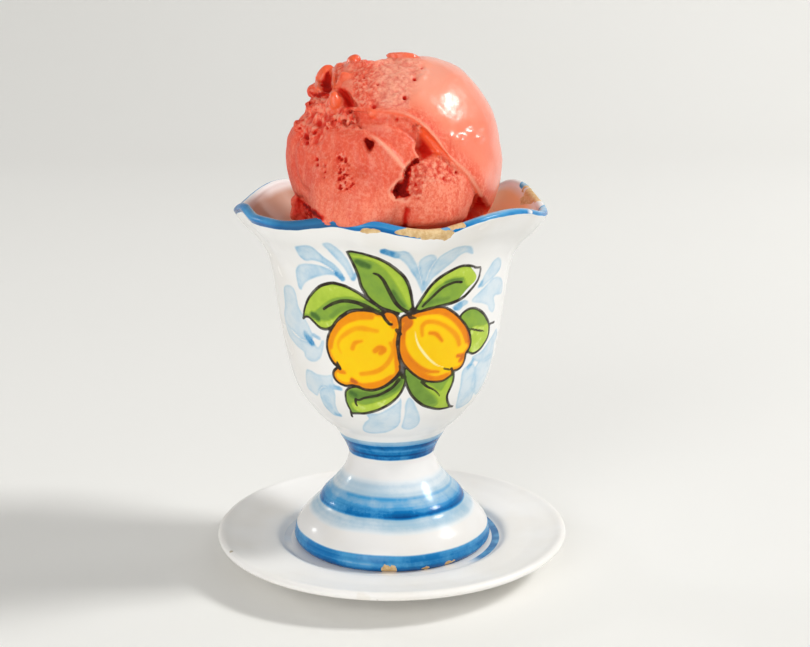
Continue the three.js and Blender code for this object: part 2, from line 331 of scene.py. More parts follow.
# ---- cup ----
# Thrown earthenware: a hollow bell foot, a neck with a sharp crease where the bowl was joined on,
# and a deep bowl whose lip was pinched into six waves while the clay was soft. Tin-glazed white
# and painted by hand: blue bands on foot, neck and lip, two lemons with leaves, pale blue sprays.
FOOT_INSIDE = [(0, 40), (7.5, 38), (11, 32), (18, 25), (26.5, 16), (29.6, 7.2)]
FOOT_OUTSIDE = [(33.6, 7.2), (35, 9), (34.7, 11.4), (34, 13.6), (32.5, 16), (30.7, 18), (28.6, 20),
                (26.4, 22), (25.7, 23), (25.1, 24), (24.3, 25), (22.2, 27), (19.5, 30), (17.2, 33),
                (15.8, 36), (15.1, 38.8), (15.5, 41), (16.7, 43.8), (18.1, 46.2)]
BOWL_OUTSIDE = [(18.1, 46.2), (20.5, 50), (26, 55.1), (33.3, 66.2), (37.6, 84), (40.9, 107),
                (44.2, 116), (49.4, 122), (52.8, 126.9)]
BOWL_INSIDE = [(49.4, 126.9), (46.2, 123), (41, 116.8), (37.1, 108), (33.6, 85), (29.2, 67.5),
               (20, 55.6), (0, 51.2)]
LIP_MIDDLE = (51.1, 126.9)
LIP_HALF = 1.7
RUFFLE_START = 103
RUFFLE_DROP = 2.8
RUFFLE_FLARE = 0.9
# Where a finger pressed a wave down or pulled it up: degrees from the front, reach and depth
RUFFLE_PRESSES = [(-60, 9, 0.75), (-34, 13, -0.42), (-12, 6, 0.5), (46, 15, 0.36), (84, 10, -0.2)]
CUP_COLUMNS = 300
CUP_BUNCHING = 0.55
SMOOTH_STEPS = 8
WALL_RADIUS = 37.5
PAINT_HEIGHT = 87.0
# How far round from the front the painting may lie, in radians
PAINTED_ANGLE = 1.45
# Stored where no paint is near, and where the lip is far: both in millimetres
NO_PAINT = -9.0
FAR_FROM_LIP = 99.0


def smooth_line(points, steps=SMOOTH_STEPS, closed=False):
    """The Catmull-Rom curve through the points: a cubic for each span, whose slope at a point is
    half the step from the point before it to the point after it."""
    points = np.asarray(points, float)
    if closed:
        points = np.vstack([points[-1:], points, points[:2]])
    else:
        points = np.vstack([points[:1], points, points[-1:]])
    before, start, end, after = points[:-3], points[1:-2], points[2:-1], points[3:]
    share = (np.arange(steps) / steps)[None, :, None]
    before, start, end, after = (p[:, None] for p in (before, start, end, after))
    slope, next_slope = (end - before) / 2, (after - start) / 2
    curve = (start + slope * share + (3 * (end - start) - 2 * slope - next_slope) * share ** 2
             + (2 * (start - end) + slope + next_slope) * share ** 3)
    return np.vstack([curve.reshape(-1, points.shape[1]), points[-2:-1]])


def ruffle(angle):
    """How far the lip is pushed down and out, from about -1 to 1, at an angle from the front: six
    waves whose depth and phase both drift round the rim, each pressed or pulled a little by hand."""
    side = np.degrees(np.arctan2(np.sin(angle), np.cos(angle)))
    pressed = sum(most * np.exp(-((side - middle) / reach) ** 2) for middle, reach, most in RUFFLE_PRESSES)
    depth = 1 - 0.29 * np.cos(angle) + 0.16 * np.sin(angle)
    shift = (-2.22 + 0.41 * np.cos(angle) + 0.12 * np.sin(angle)
             + 0.36 * np.cos(2 * angle) + 0.25 * np.sin(2 * angle))
    return depth * np.cos(6 * angle + shift) + pressed - 0.15


def eased(value, low, high):
    """0 below low and 1 above high. Between them it is three times the share squared, less twice
    the share cubed, which is level at both ends."""
    share = np.clip((value - low) / (high - low), 0, 1)
    return share * share * (3 - 2 * share)


lip_turn = np.linspace(0, math.pi, 33)
lip_round = np.stack([LIP_MIDDLE[0] + LIP_HALF * np.cos(lip_turn),
                      LIP_MIDDLE[1] + LIP_HALF * np.sin(lip_turn)], 1)
cup_runs = [
    (stepped(smooth_line(FOOT_INSIDE), 3.0), "under"),
    (stepped([FOOT_INSIDE[-1], FOOT_OUTSIDE[0]], 1.0)[1:], "under"),
    (stepped(smooth_line(FOOT_OUTSIDE), 0.95)[1:], "foot"),
    (stepped(smooth_line(BOWL_OUTSIDE), 0.53)[1:], "bowl"),
    (stepped(lip_round, 0.42)[1:], "lip"),
    (stepped(smooth_line(BOWL_INSIDE[:4]), 0.8)[1:], "inside"),
    (stepped(smooth_line(BOWL_INSIDE)[3 * SMOOTH_STEPS:], 4.0)[1:], "inside"),
]
cup_profile = np.vstack([run for run, _ in cup_runs])
cup_zone = np.concatenate([[zone] * len(run) for run, zone in cup_runs])
turn = np.linspace(0, 2 * math.pi, CUP_COLUMNS, endpoint=False)
cup_angles = turn - CUP_BUNCHING * np.sin(turn)
cup_rings = turned(cup_profile[1:-1], cup_angles)
cup_zone = cup_zone[1:-1]
# The waves come in up the bowl: ten times the share cubed, less fifteen times its fourth power,
# plus six times its fifth, so that they start and end without a kink
share = np.clip((cup_profile[1:-1, 1] - RUFFLE_START) / (LIP_MIDDLE[1] - RUFFLE_START), 0, 1)
share = (share ** 3 * (share * (6 * share - 15) + 10))[:, None]
move = ruffle(cup_angles)[None, :] * share
cup_rings[..., 0] += RUFFLE_FLARE * move * np.sin(cup_angles)
cup_rings[..., 1] -= RUFFLE_FLARE * move * np.cos(cup_angles)
cup_rings[..., 2] -= RUFFLE_DROP * move

# Places on the bowl's outside, as millimetres round the wall from the front, and up from the
# middle of the painting
outside = np.isin(cup_zone, ["bowl", "lip"])
from_front = np.minimum(np.abs(cup_angles), np.abs(cup_angles - 2 * math.pi))
front = outside[:, None] & (from_front[None, :] < PAINTED_ANGLE)
around = WALL_RADIUS * np.arctan2(cup_rings[..., 0], -cup_rings[..., 1])
upward = cup_rings[..., 2] - PAINT_HEIGHT
places = np.stack([around[front], upward[front]], 1)


def nearby(line, reach, some):
    """Which of some places lie within reach of the box round a run of points."""
    low, high = np.min(line, axis=0) - reach, np.max(line, axis=0) + reach
    return np.all((some > low) & (some < high), axis=1)


def distance_along(line, some):
    """For each of some places: the distance to a run of points, and the share of the run's
    length at the nearest point, from 0 to 1."""
    start, run = line[:-1], np.diff(line, axis=0)
    length = np.hypot(run[:, 0], run[:, 1])
    before = np.concatenate([[0], np.cumsum(length)[:-1]])
    reach = some[:, None] - start[None]
    part = np.clip((reach * run).sum(-1) / np.maximum(length ** 2, 1e-9), 0, 1)
    gap = np.hypot(*np.moveaxis(reach - part[..., None] * run, -1, 0))
    best = gap.argmin(1)
    row = np.arange(len(some))
    return gap[row, best], (before[best] + part[row, best] * length[best]) / length.sum()


def depth_inside(outline, some):
    """How far each of some places lies inside a closed outline, and below zero outside it: the
    sign is from counting the outline's edges that cross a ray to the right."""
    gap, _ = distance_along(outline, some)
    (x0, y0), (x1, y1) = outline[:-1].T, outline[1:].T
    x, y = some[:, :1], some[:, 1:]
    straddles = (y0 > y) != (y1 > y)
    rise = np.where(y1 == y0, 1e-9, y1 - y0)
    crossed = straddles & (x < x0 + (y - y0) * (x1 - x0) / rise)
    return np.where(crossed.sum(1) % 2 == 1, gap, -gap)


def paint_stroke(layer, points, half):
    """Adds a brush stroke to a layer of depths: how far each place lies inside the stroke. `half`
    gives the stroke's half width at points spread evenly along it."""
    line = smooth_line(points)
    some = nearby(line, 5, places)
    gap, along = distance_along(line, places[some])
    half = np.atleast_1d(half)
    width = np.interp(along, np.linspace(0, 1, len(half)), half)
    layer[some] = np.maximum(layer[some], width - gap)


def paint_shape(layer, outline):
    """Adds a filled shape to a layer of depths, and returns where it is near and how deep."""
    some = nearby(outline, 5, places)
    depth = depth_inside(outline, places[some])
    layer[some] = np.maximum(layer[some], depth)
    return some, depth


def tint_shape(tone, outline, value, soft):
    """Moves a layer of tones to a value inside a closed outline, with a soft edge."""
    line = smooth_line(outline, 4, closed=True)
    some = nearby(line, 3, places)
    share = eased(depth_inside(line, places[some]), -soft, soft)
    tone[some] += (value - tone[some]) * share


def tint_stroke(tone, points, half, value, soft=0.5):
    """Moves a layer of tones to a value along a brush stroke, with soft edges."""
    layer = np.full(len(places), NO_PAINT)
    paint_stroke(layer, points, half)
    tone += (value - tone) * eased(layer, -soft, soft)


# Outlines of the painting, in millimetres: (round the wall, up the wall). A leaf has its two sides
# from tip to stalk, or one line all round
LEAF_LINES = [
    [
        [(-11.6, 31.6), (-10.3, 31.9), (-7.7, 31.5), (-5.3, 30.6), (-2.8, 29.4), (-0.2, 27.6),
         (2.6, 24.8), (4, 23), (5, 20.9), (5.8, 18.2), (6.3, 15.5), (6.8, 12.1)],
        [(-11.5, 31.2), (-10.5, 27.8), (-9.4, 23.9), (-8.7, 20.2), (-7.7, 18.2), (-6.6, 16.2),
         (-3.2, 13.3), (-0.3, 12.1), (2.4, 11.1)]],
    [
        [(-30.9, 7.1), (-30.2, 9.3), (-29.1, 11.5), (-27.6, 13.8), (-25.8, 15.8), (-24, 17.5),
         (-22, 19), (-19.9, 19.9), (-17.7, 20.5), (-15.8, 20.3), (-13.6, 19.8), (-11.5, 18.8),
         (-9.7, 17.8), (-7.4, 16), (-4.4, 13.8), (-1.8, 11.6)],
        [(-31.2, 6.5), (-29.8, 7.4), (-28.4, 7.5), (-27.4, 7), (-25.8, 5.9), (-24.5, 4.9),
         (-23, 4.4), (-21.2, 4.5), (-19.2, 5.4), (-18, 6.9), (-16.4, 8.8), (-14.8, 10.1),
         (-13.1, 11.3), (-11, 12), (-8.8, 12.1), (-6.3, 11.9), (-4.5, 11.4), (-2.7, 10.6)]],
    [
        [(28.8, 24.1), (27.1, 24.2), (25.3, 25), (23, 25.5), (20.6, 25.5), (18.4, 24.7),
         (16.4, 23.7), (14.4, 22.4), (12.7, 20.8), (11.3, 19), (10, 16.9), (8.7, 14.7), (7.1, 11.7)],
        [(29.1, 23.8), (29.1, 22.1), (28.8, 20.1), (27.4, 18.1), (25.6, 16.4), (23.7, 14.9),
         (21.4, 13.9), (18.9, 13.3), (16.9, 13), (14.5, 12.7), (12.3, 12.2), (10.1, 11.7),
         (7.6, 11.2)]],
    [
        [(22.8, 8.1), (23.8, 9.3), (25.7, 10.2), (27.9, 10.3), (30.3, 9.5), (33.2, 7.7),
         (35.6, 5.5), (37.7, 3.1), (38.6, 0.7), (38.4, -1.8), (36.8, -3.5), (35, -4.9),
         (32.9, -5.7), (30.5, -5.9), (28.3, -5)]],
    [
        [(-17.2, -18.8), (-16.8, -17.1), (-15.3, -15.7), (-13.3, -14.9), (-11.6, -14.8),
         (-10, -15.5), (-7.5, -15.8), (-5, -15.4), (-2.2, -14.2), (-0.1, -12.8), (1.9, -11),
         (3.3, -9.5)],
        [(-17.2, -18.8), (-17.4, -20.7), (-17.1, -22.5), (-16.7, -24.1), (-16.5, -25.4),
         (-13.9, -25.3), (-10.8, -25), (-7.5, -24.1), (-4.4, -22.9), (-1.3, -21.2), (0.9, -19.5),
         (2.7, -17.5), (3.9, -15.4), (4.7, -13.1), (4.8, -10.9)]],
    [
        [(4.4, -7.7), (4.4, -10.2), (5, -12.7), (6, -15.5), (7.6, -18.1), (9.7, -20.2),
         (12.4, -22.1), (15.7, -23.4), (19.5, -24.4), (23, -24.6), (25.5, -24.5)],
        [(22.6, -10.7), (23.1, -12.9), (22.9, -15.4), (22.1, -17.7), (21.7, -19.7), (22.6, -21.8),
         (24.7, -24), (26.8, -24.7)]],
]
LEMON_LINES = [
    [(-3.3, 11.1), (-6.3, 11.8), (-9.4, 11.9), (-12.3, 11.3), (-14.7, 9.8), (-16.8, 8.1),
     (-18.8, 5.8), (-20.4, 3.2), (-21.6, 0.3), (-21.9, -2.5), (-21.3, -5.3), (-20, -7.4),
     (-18.7, -8.4), (-20.3, -9.9), (-20.9, -11.6), (-20.2, -13.3), (-18.6, -14.4),
     (-16.3, -14.9), (-13.6, -14.5), (-11.1, -15.2), (-8.3, -15.8), (-5.4, -15.4),
     (-2.5, -14.2), (-0.1, -12.4), (1.9, -10.3), (3.2, -7.7), (2.6, -4.5), (2.2, -1.7),
     (1.9, 1), (2.3, 3.8), (2.8, 6.2), (2.4, 8.9), (1.5, 10.8), (0, 11.7), (-1.8, 11.8)],
    [(2.7, 9.2), (4, 10.3), (5.5, 10.6), (7.6, 11.1), (9.5, 11.7), (11.6, 12.3), (14.2, 12.5),
     (16.6, 12.2), (18.9, 11), (21.5, 9), (23.9, 6.6), (26.2, 4), (27.9, 1.1), (28.7, -1.7),
     (28.3, -3.7), (27.1, -5.1), (27, -7.2), (26.3, -9.2), (24.6, -10.4), (22.3, -10.7),
     (22, -11.8), (20.5, -12.8), (18.4, -13.6), (15.7, -13.6), (12.8, -13.1), (10.2, -12),
     (7.9, -10.4), (5.7, -8.3), (3.9, -6.1), (2.9, -3.8), (2.4, -1.4), (2.4, 1.7), (2.7, 5.1),
     (2.8, 7.2)],
]
# Ink strokes: points, then half widths along the stroke
INK_STROKES = [
    ([(-4.8, 24.5), (-3.5, 24), (-2.2, 22.4), (-1.1, 20), (0.1, 17.3), (1.5, 14.6), (3.3, 12.6),
      (5.5, 11.2)], [0.3, 0.5, 0.55, 0.5]),
    ([(-21.7, 11.2), (-19.9, 12.5), (-17.7, 13.7), (-15.3, 14.6), (-13, 14.8), (-10.5, 14.5),
      (-8.4, 13.8), (-6.3, 12.7), (-3.9, 11.3)], [0.35, 0.5, 0.6, 0.7]),
    ([(22.2, 20), (20, 20.3), (18, 19.9), (15.8, 19), (14.1, 17.6), (12.4, 15.9), (10.6, 14.2),
      (9.6, 13.1)], [0.35, 0.4, 0.3]),
    ([(27.8, 3.3), (30.6, 2.3), (35.3, 1)], [0.25, 0.3, 0.2]),
    ([(38, 2.9), (42, 2.7)], [0.3, 0.35]),
    ([(-13.6, -19.6), (-12.1, -19.8), (-10.1, -18.9), (-7.4, -18.2), (-4.6, -17.5),
      (-1.9, -16.1), (0.6, -14.4), (2.6, -11.9)], [0.3, 0.4, 0.45, 0.5]),
    ([(-13.2, -19.6), (-13.6, -20.9), (-13.3, -22)], [0.5, 0.35]),
    ([(-16.9, -25), (-17.1, -26.9)], [0.3, 0.45]),
    ([(10.6, -13.1), (12.7, -15), (15.2, -16.3), (16.8, -17.5), (18.3, -19.1)], [0.45, 0.3, 0.2]),
    ([(-18.7, -6.7), (-17.9, -8.9)], [0.3, 0.6]),
    ([(21.6, -9.5), (22.5, -11.7)], [0.35, 0.5]),
    ([(18.5, -9.2), (20.7, -9.9)], [0.3, 0.25]),
    ([(5.6, 10.6), (6, 9.6), (7.7, 9.4)], [0.7, 0.4, 0.2]),
    ([(-2.7, 11.3), (-1.8, 9.3), (-0.5, 7.6), (0.2, 7.4)], [0.5, 0.4, 0.4]),
    ([(1.7, 5.5), (2.2, 4.8), (2.9, 4.1)], [0.5, 0.5]),
    ([(3.2, -7), (3.6, -9), (3.9, -11)], [0.7, 0.8, 0.6]),
    ([(6.3, 12.4), (6.8, 11.2), (8.2, 11.6)], [0.5, 0.7, 0.5]),
]
# Tones on the leaves: outline, tone from 0 for the darkest green to 1 for the lightest
LEAF_TINTS = [
    ([(-10.5, 30.9), (-6.6, 30.4), (-4.1, 29.7), (-1.2, 28.3), (1.5, 25.9), (3.8, 22),
      (5.3, 17.9), (6.3, 13.1), (5.1, 13.5), (3.3, 17.6), (0.9, 22.1), (-1.5, 25.9),
      (-4.2, 28.3), (-7.5, 29.6), (-10.2, 29.8)], 0.86),
    ([(-29.9, 8.3), (-30.1, 10), (-28.1, 13.4), (-25.5, 16.5), (-22.2, 19), (-17.9, 19.8),
      (-13.7, 19.2), (-10.6, 18), (-8.6, 16.8), (-7.4, 15.5), (-9.8, 15.7), (-12.3, 16.3),
      (-14.9, 16), (-17.2, 15.5), (-19.8, 14.2), (-23, 11.8), (-26.6, 9.2)], 0.9),
    ([(-23.6, 7.2), (-20.5, 7.3), (-18.9, 8.5), (-17, 10.4), (-14.9, 11.3), (-16.8, 8.8),
      (-18.8, 6.1), (-20.8, 4.5), (-23.5, 4.8), (-25.8, 5.9), (-26.9, 7.1)], 0.95),
    ([(9.3, 15.7), (11, 18.9), (13.5, 21.8), (16.4, 23.5), (19.7, 24.9), (23.1, 25.1),
      (26.1, 23.6), (28.2, 21.2), (27.5, 18.6), (24.3, 18.7), (23.1, 21), (20.1, 21.7),
      (17.2, 21), (14.7, 19.9), (12.3, 17.8), (10.3, 14.9)], 0.92),
    ([(27.7, 2.5), (29.8, 3.8), (34.2, 3), (38.6, 3.5), (38.9, -0.1), (36.9, -2.8),
      (33.8, -5), (30.3, -6), (28, -2.4)], 0.95),
    ([(-15.2, -21.3), (-14.7, -23.7), (-12, -24.7), (-7.8, -24.3), (-3.6, -22.9), (0.2, -20.4),
      (3.1, -17.5), (4.4, -14.9), (2.3, -16.3), (-0.5, -18.2), (-4.2, -19.7), (-8, -21),
      (-11.3, -21.7), (-13.4, -20.7)], 0.95),
    ([(-16.1, -17.6), (-14.3, -16.2), (-10.5, -16.3), (-6.9, -16.8), (-2.9, -15.9),
      (0.2, -14.1), (2.6, -12.3), (3.3, -11.2), (4, -13), (2.3, -15.2), (-0.5, -17),
      (-4.1, -18.2), (-8.6, -19.2), (-12.5, -19.8), (-14.8, -19.3)], 0.3),
    ([(11.4, -13.5), (14.6, -15), (18.2, -17.3), (19.8, -15.3), (21.7, -12.7), (23.2, -15.1),
      (22.5, -17.6), (22.4, -20.6), (25.1, -24.7), (20.6, -24.7), (15.7, -24), (18.2, -22.3),
      (17.4, -19.8), (14.5, -17.2), (11.6, -15)], 0.85),
    ([(4.6, -8.8), (7, -9.6), (9.2, -12.3), (12, -15.4), (15.2, -18.8), (17.4, -21.4),
      (15, -21.9), (10.7, -20.6), (7.4, -17.3), (5.1, -13.8), (4.3, -11.3)], 0.4),
]
# Darker dabs on the leaves: points, half widths, tone
LEAF_DABS = [
    ([(-9.1, 28.4), (-7.6, 27.6), (-6.2, 26.9)], [0.9, 1.2, 0.9], 0.08),
    ([(0.6, 18.5), (2.2, 15.5), (4, 13.4)], [0.6, 0.8, 0.5], 0.2),
    ([(-26.6, 8.8), (-25.2, 8.2), (-24.4, 7.6)], [0.9, 1.2, 1.0], 0.1),
    ([(-19, 9), (-14, 12.6), (-8.5, 13)], [0.8, 0.9, 0.6], 0.4),
    ([(16.5, 20.6), (19.5, 21.2), (22.3, 21)], [0.4, 0.6, 0.5], 0.25),
    ([(10.5, 13.6), (13.5, 14.6), (18, 15.2)], [0.7, 0.9, 0.5], 0.38),
    ([(23.8, 7), (26.5, 6.2), (30, 5.5)], [1.4, 1.5, 0.8], 0.6),
    ([(-14.6, -17.2), (-13.2, -18)], [0.9, 0.8], 0.1),
]
# Orange on the lemons: points, half widths, tone from 0 for yellow to 1 for burnt orange
LEMON_DABS = [
    ([(-4.3, 5.1), (-9.7, 5.9), (-13, 4.7), (-16.3, 2), (-17.6, -0.6), (-16.8, -3.3)],
     [0.7, 1.0, 0.9, 0.8, 0.6, 0.3], 0.5),
    ([(-12.6, -1.3), (-11.6, 0.7), (-9.3, 1.5)], [0.8, 0.8, 0.5], 0.62),
    ([(-5.2, -1.8), (-3.8, -0.7), (-2.3, -1.2), (-3.4, -2.4)], [0.9, 1.1, 0.9], 0.7),
    ([(-10.3, -10.1), (-5.4, -9.1), (-2, -6.9), (-0.1, -4.1), (0.6, -1.4), (-0.3, 1.1)],
     [0.8, 0.9, 0.9, 0.8, 0.6], 0.58),
    ([(0.9, 2.1), (1.9, -2.1), (2.5, -5.6), (2.6, -9.1)], [0.5, 0.9, 1.6, 1.4], 0.75),
    ([(-13.8, -13.6), (-9.2, -14.7), (-3.9, -13.7), (0.2, -11.5)], [1.0, 1.5, 1.6, 1.5], 0.72),
    ([(-17.9, -9.8), (-16.4, -10.1)], [1.1, 0.8], 0.7),
    ([(-13.7, -12.5), (-12.4, -13.2)], [0.9, 0.8], 0.95),
    ([(-0.6, 10), (1.2, 8.9), (0.8, 6.8)], [1.7, 1.5, 1.0], 0.8),
    ([(-20.5, -1.5), (-19.3, 3), (-15.8, 7.4), (-11, 9.8), (-6, 9.8)],
     [0.9, 1.4, 1.6, 1.6, 1.0], 0.68),
    ([(9.9, 3.2), (9.7, 6.2), (11.2, 7.7), (13.9, 7.5), (16.7, 6.2), (19.7, 4.1), (22.4, 1.3),
      (23.6, -1.4)], [0.6, 0.8, 0.9, 0.8, 0.9, 1.1, 0.9], 0.6),
    ([(12.4, 3.9), (14.5, 3.3), (16.8, 0.7)], [0.7, 0.8, 0.5], 0.82),
    ([(4, 5.1), (3.8, 0.3), (5.5, -3.9), (8.6, -7.3), (12.5, -9.4), (16.6, -10.1)],
     [0.7, 0.9, 1.0, 1.0, 0.8, 0.5], 0.82),
    ([(3.1, 2), (3.8, -3.2), (6.6, -7.5), (10.9, -11), (15.7, -12.5), (20, -11.7)],
     [0.9, 1.1, 1.2, 1.3, 1.1, 0.9], 0.78),
    ([(7.6, 10.4), (11.4, 11.3), (16, 10.9), (20.4, 8.4), (24.5, 4.1), (27, -0.5)],
     [1.0, 1.3, 1.3, 1.4, 1.5, 1.3], 0.78),
    ([(4.4, 9), (5.5, 7.9), (4.2, 6)], [1.6, 1.5, 1.2], 0.9),
    ([(23.4, -5.4), (25.8, -5.9), (24.8, -7.3)], [0.7, 1.0, 0.8], 0.9),
    ([(24.6, 6.4), (27.2, 2.4), (28.4, -1.8)], [0.6, 0.9, 0.9], 1.0),
]
# Blue sprays: outlines of the feathers, and how much paint the brush carried
WASH_SHAPES = [
    ([(-26.3, 31.9), (-23.8, 33), (-21.1, 33.1), (-19.9, 30.9), (-18.5, 28.9), (-16.3, 27.2),
      (-14.6, 25), (-13.8, 23.4), (-14.3, 22.1), (-15.5, 22.4), (-16.7, 24.5), (-18.6, 26.1),
      (-20.7, 27.3), (-22.9, 27.7), (-25.4, 27.2), (-27, 29)], 0.44),
    ([(-17.6, 34), (-15.8, 34.7), (-14.3, 33.1), (-12.6, 30.5), (-11.3, 27.3), (-10.5, 24.2),
      (-10.5, 22.1), (-11.5, 21.8), (-12.3, 23.5), (-13.4, 26), (-15.2, 28.7), (-16.6, 31)], 0.42),
    ([(-31.5, 21.9), (-30.3, 24.2), (-27.8, 25.7), (-24.1, 26.4), (-20.7, 26.1), (-18.2, 25.2),
      (-16.6, 24), (-15.5, 22.6), (-17, 23.1), (-19.2, 23.1), (-22.3, 22.1), (-26, 20.5),
      (-28.8, 18.4), (-30.3, 16.4), (-31.6, 17.6)], 0.42),
    ([(-40.8, 15.1), (-37.3, 16.9), (-34.4, 16.5), (-33.2, 14.2), (-33, 11.1), (-31.8, 8.7),
      (-29.5, 5.7), (-28.1, 3.1), (-27.6, 0.3), (-28.5, -1.6), (-30.5, -1.4), (-34, -0.9),
      (-37.7, 0.6), (-42.4, 2), (-44.2, 5.1), (-42, 9)], 0.3),
    ([(-43.8, 4), (-43, -1.1), (-37.1, -4.5), (-33.8, -5.6), (-33.3, -7.3), (-31.3, -8.3),
      (-28.2, -8), (-25.6, -6.4), (-24, -3.8), (-22.8, -0.1), (-23.8, 0.3), (-24.7, -1.3),
      (-26, -2.7), (-27.3, -1.4), (-29.7, -1.4), (-34.1, -1.2), (-38.9, 0.4)], 0.3),
    ([(-34.6, -12.5), (-31.7, -11.7), (-28.4, -12.5), (-24, -12.2), (-20.7, -11.3), (-21.4, -13.4),
      (-21.1, -15), (-18.6, -15.5), (-20.2, -17), (-23.9, -16.9), (-27, -16.9), (-29.3, -18.8),
      (-31.7, -21.2), (-34.9, -20.3), (-37, -18.6)], 0.3),
    ([(-29.3, -18.8), (-25.3, -16.6), (-22, -17), (-21.8, -19.7), (-23, -23.2), (-23.2, -26),
      (-22.2, -27.2), (-26.6, -28.3), (-28.8, -27), (-30.2, -24.2)], 0.42),
    ([(37.1, 26), (39.9, 24), (39.9, 21.1), (36.5, 19.2), (33.1, 17.9), (31.2, 16.8), (30.2, 18.1),
      (31.4, 21), (33.2, 23.3), (34.7, 25.3)], 0.34),
    ([(43, 17.6), (45.5, 15.1), (45.6, 11.9), (40.7, 12.4), (39, 11.9), (40.7, 8.3), (39.4, 6.6),
      (36.7, 8), (35.3, 9.8), (31.8, 11.3), (27.7, 12.3), (27.2, 13.5), (29.5, 15.1), (33.2, 17.3),
      (35.6, 18.8), (38.7, 19.1)], 0.3),
    ([(19.6, 11.8), (21.6, 13.2), (24.1, 13.7), (25.7, 12.6), (23.7, 11.5), (22.2, 10.3),
      (20.6, 10.8)], 0.42),
    ([(45.8, -0.34), (49, -3.5), (46.7, -5.9), (47.7, -10.34), (40.8, -10.8), (35.9, -10),
      (32.6, -8.9), (30.4, -7.3), (32, -6.7), (35.8, -6.1), (39.6, -3.7), (42.5, -2)], 0.34),
    ([(47, -9.5), (48.1, -14.1), (46.5, -19.5), (42.5, -23.6),
      (34, -19.1), (33.2, -14.5), (33.7, -11), (37.1, -9.2)], 0.3),
    ([(33.2, -11.1), (35.9, -16.6), (38, -21.9), (38.9, -25.2), (33.2, -26.5), (29.2, -25.7),
      (27.3, -21), (27, -16.5), (26.6, -12.2), (27.7, -10.3), (31.3, -9.6)], 0.36),
    ([(-2, 33.1), (-1.4, 33.5), (-0.1, 33), (1.7, 32.7), (3.4, 32.9), (4.7, 31.9), (6, 29.7),
      (7.3, 27.2), (8.1, 24.6), (8.8, 21.6), (9.5, 18.6), (9.3, 17.5), (8.2, 20.2), (7.2, 22.5),
      (5.8, 24.7), (4.3, 27.5), (2.5, 29.6), (0.6, 30.1), (-1.5, 31.3), (-2.1, 32)], 0.5),
    ([(7.4, 27.9), (7.8, 29.6), (8.9, 30.9), (10.4, 31.3), (11.7, 30.3), (12.3, 29.3),
      (11.6, 27.6), (10.9, 25.4), (10.5, 23.3), (10.1, 21), (9.8, 18.6), (9.3, 19.6), (8.8, 22.1),
      (8.1, 24.6)], 0.4),
    ([(10.2, 19.6), (10.5, 22.5), (11.1, 25.4), (12, 28.3), (12.8, 30.3), (14.6, 32), (16.6, 33.1),
      (19, 33.2), (21.3, 32.7), (23, 31.6), (24.3, 29.6), (23.6, 29.4), (21.2, 30.3), (19.3, 29.5),
      (17.8, 27.7), (16.1, 26), (14.2, 24.2), (12.3, 22.4), (11, 20)], 0.38),
    ([(-14.3, -31.7), (-12.1, -29.2), (-9.7, -27.3), (-10.2, -25.8), (-8.7, -24.9), (-5.1, -24.7),
      (-1.5, -22.8), (0.9, -21.2), (2.7, -19.8), (3.3, -18.7), (3.7, -20.3), (3.7, -23.4),
      (3.8, -26.5), (3.7, -28.8), (2.2, -31), (-1.4, -32.9), (-6.2, -34), (-11.2, -34.3),
      (-14.4, -33.7)], 0.36),
    ([(5.7, -19.2), (6.7, -18.6), (8, -19.8), (9.5, -22.5), (11.3, -25.5), (12.4, -28),
      (12.5, -30.3), (10.9, -31.8), (8.3, -32.4), (5.6, -31.8), (4.6, -30.5), (5, -27.7),
      (5.2, -24.5), (5.1, -21.6)], 0.3),
]
# Dark ends of the sprays, where the brush was set down or lifted: points, half widths, paint
WASH_DABS = [
    ([(-15.8, 23.8), (-14.2, 22.2)], [0.9, 1.0], 0.85),
    ([(-31, 1.2), (-28.4, -1.4)], [1.2, 1.3], 0.85),
    ([(-27, 1.5), (-24.9, 0.8)], [0.8, 0.8], 0.6),
    ([(-22.8, -15.9), (-18.7, -16.4)], [0.8, 0.8], 0.65),
    ([(-25.5, -27.3), (-23.1, -27.5)], [0.9, 0.7], 0.7),
    ([(-1.9, 32.4), (1.4, 31)], [1.0, 1.1], 1.0),
    ([(9.7, 21), (9.7, 19)], [0.7, 0.8], 0.7),
    ([(30.6, 18.6), (29.6, 17.4)], [0.8, 0.7], 0.6),
    ([(31.4, -8.6), (29.6, -10.4)], [0.9, 1.0], 0.75),
    ([(-10, 24), (-10.9, 22.3)], [0.7, 0.7], 0.65),
    ([(22.6, 12.4), (20.8, 11.3)], [0.8, 0.8], 0.7),
]

ink, leaf, lemon, wash, glint, chip = (np.full(len(places), NO_PAINT) for _ in range(6))
leaf_tone = np.full(len(places), 0.55)
lemon_tone = np.full(len(places), 0.06)
wash_paint = np.zeros(len(places))
wash_rims = np.zeros(len(places))

for lines in LEAF_LINES:
    sides = [smooth_line(line) for line in lines]
    closing = sides[1][::-1] if len(sides) == 2 else sides[0][:1]
    paint_shape(leaf, np.vstack([sides[0], closing, sides[0][:1]]))
    for line in lines:
        paint_stroke(ink, line, [0.4, 0.5, 0.56, 0.5, 0.42])
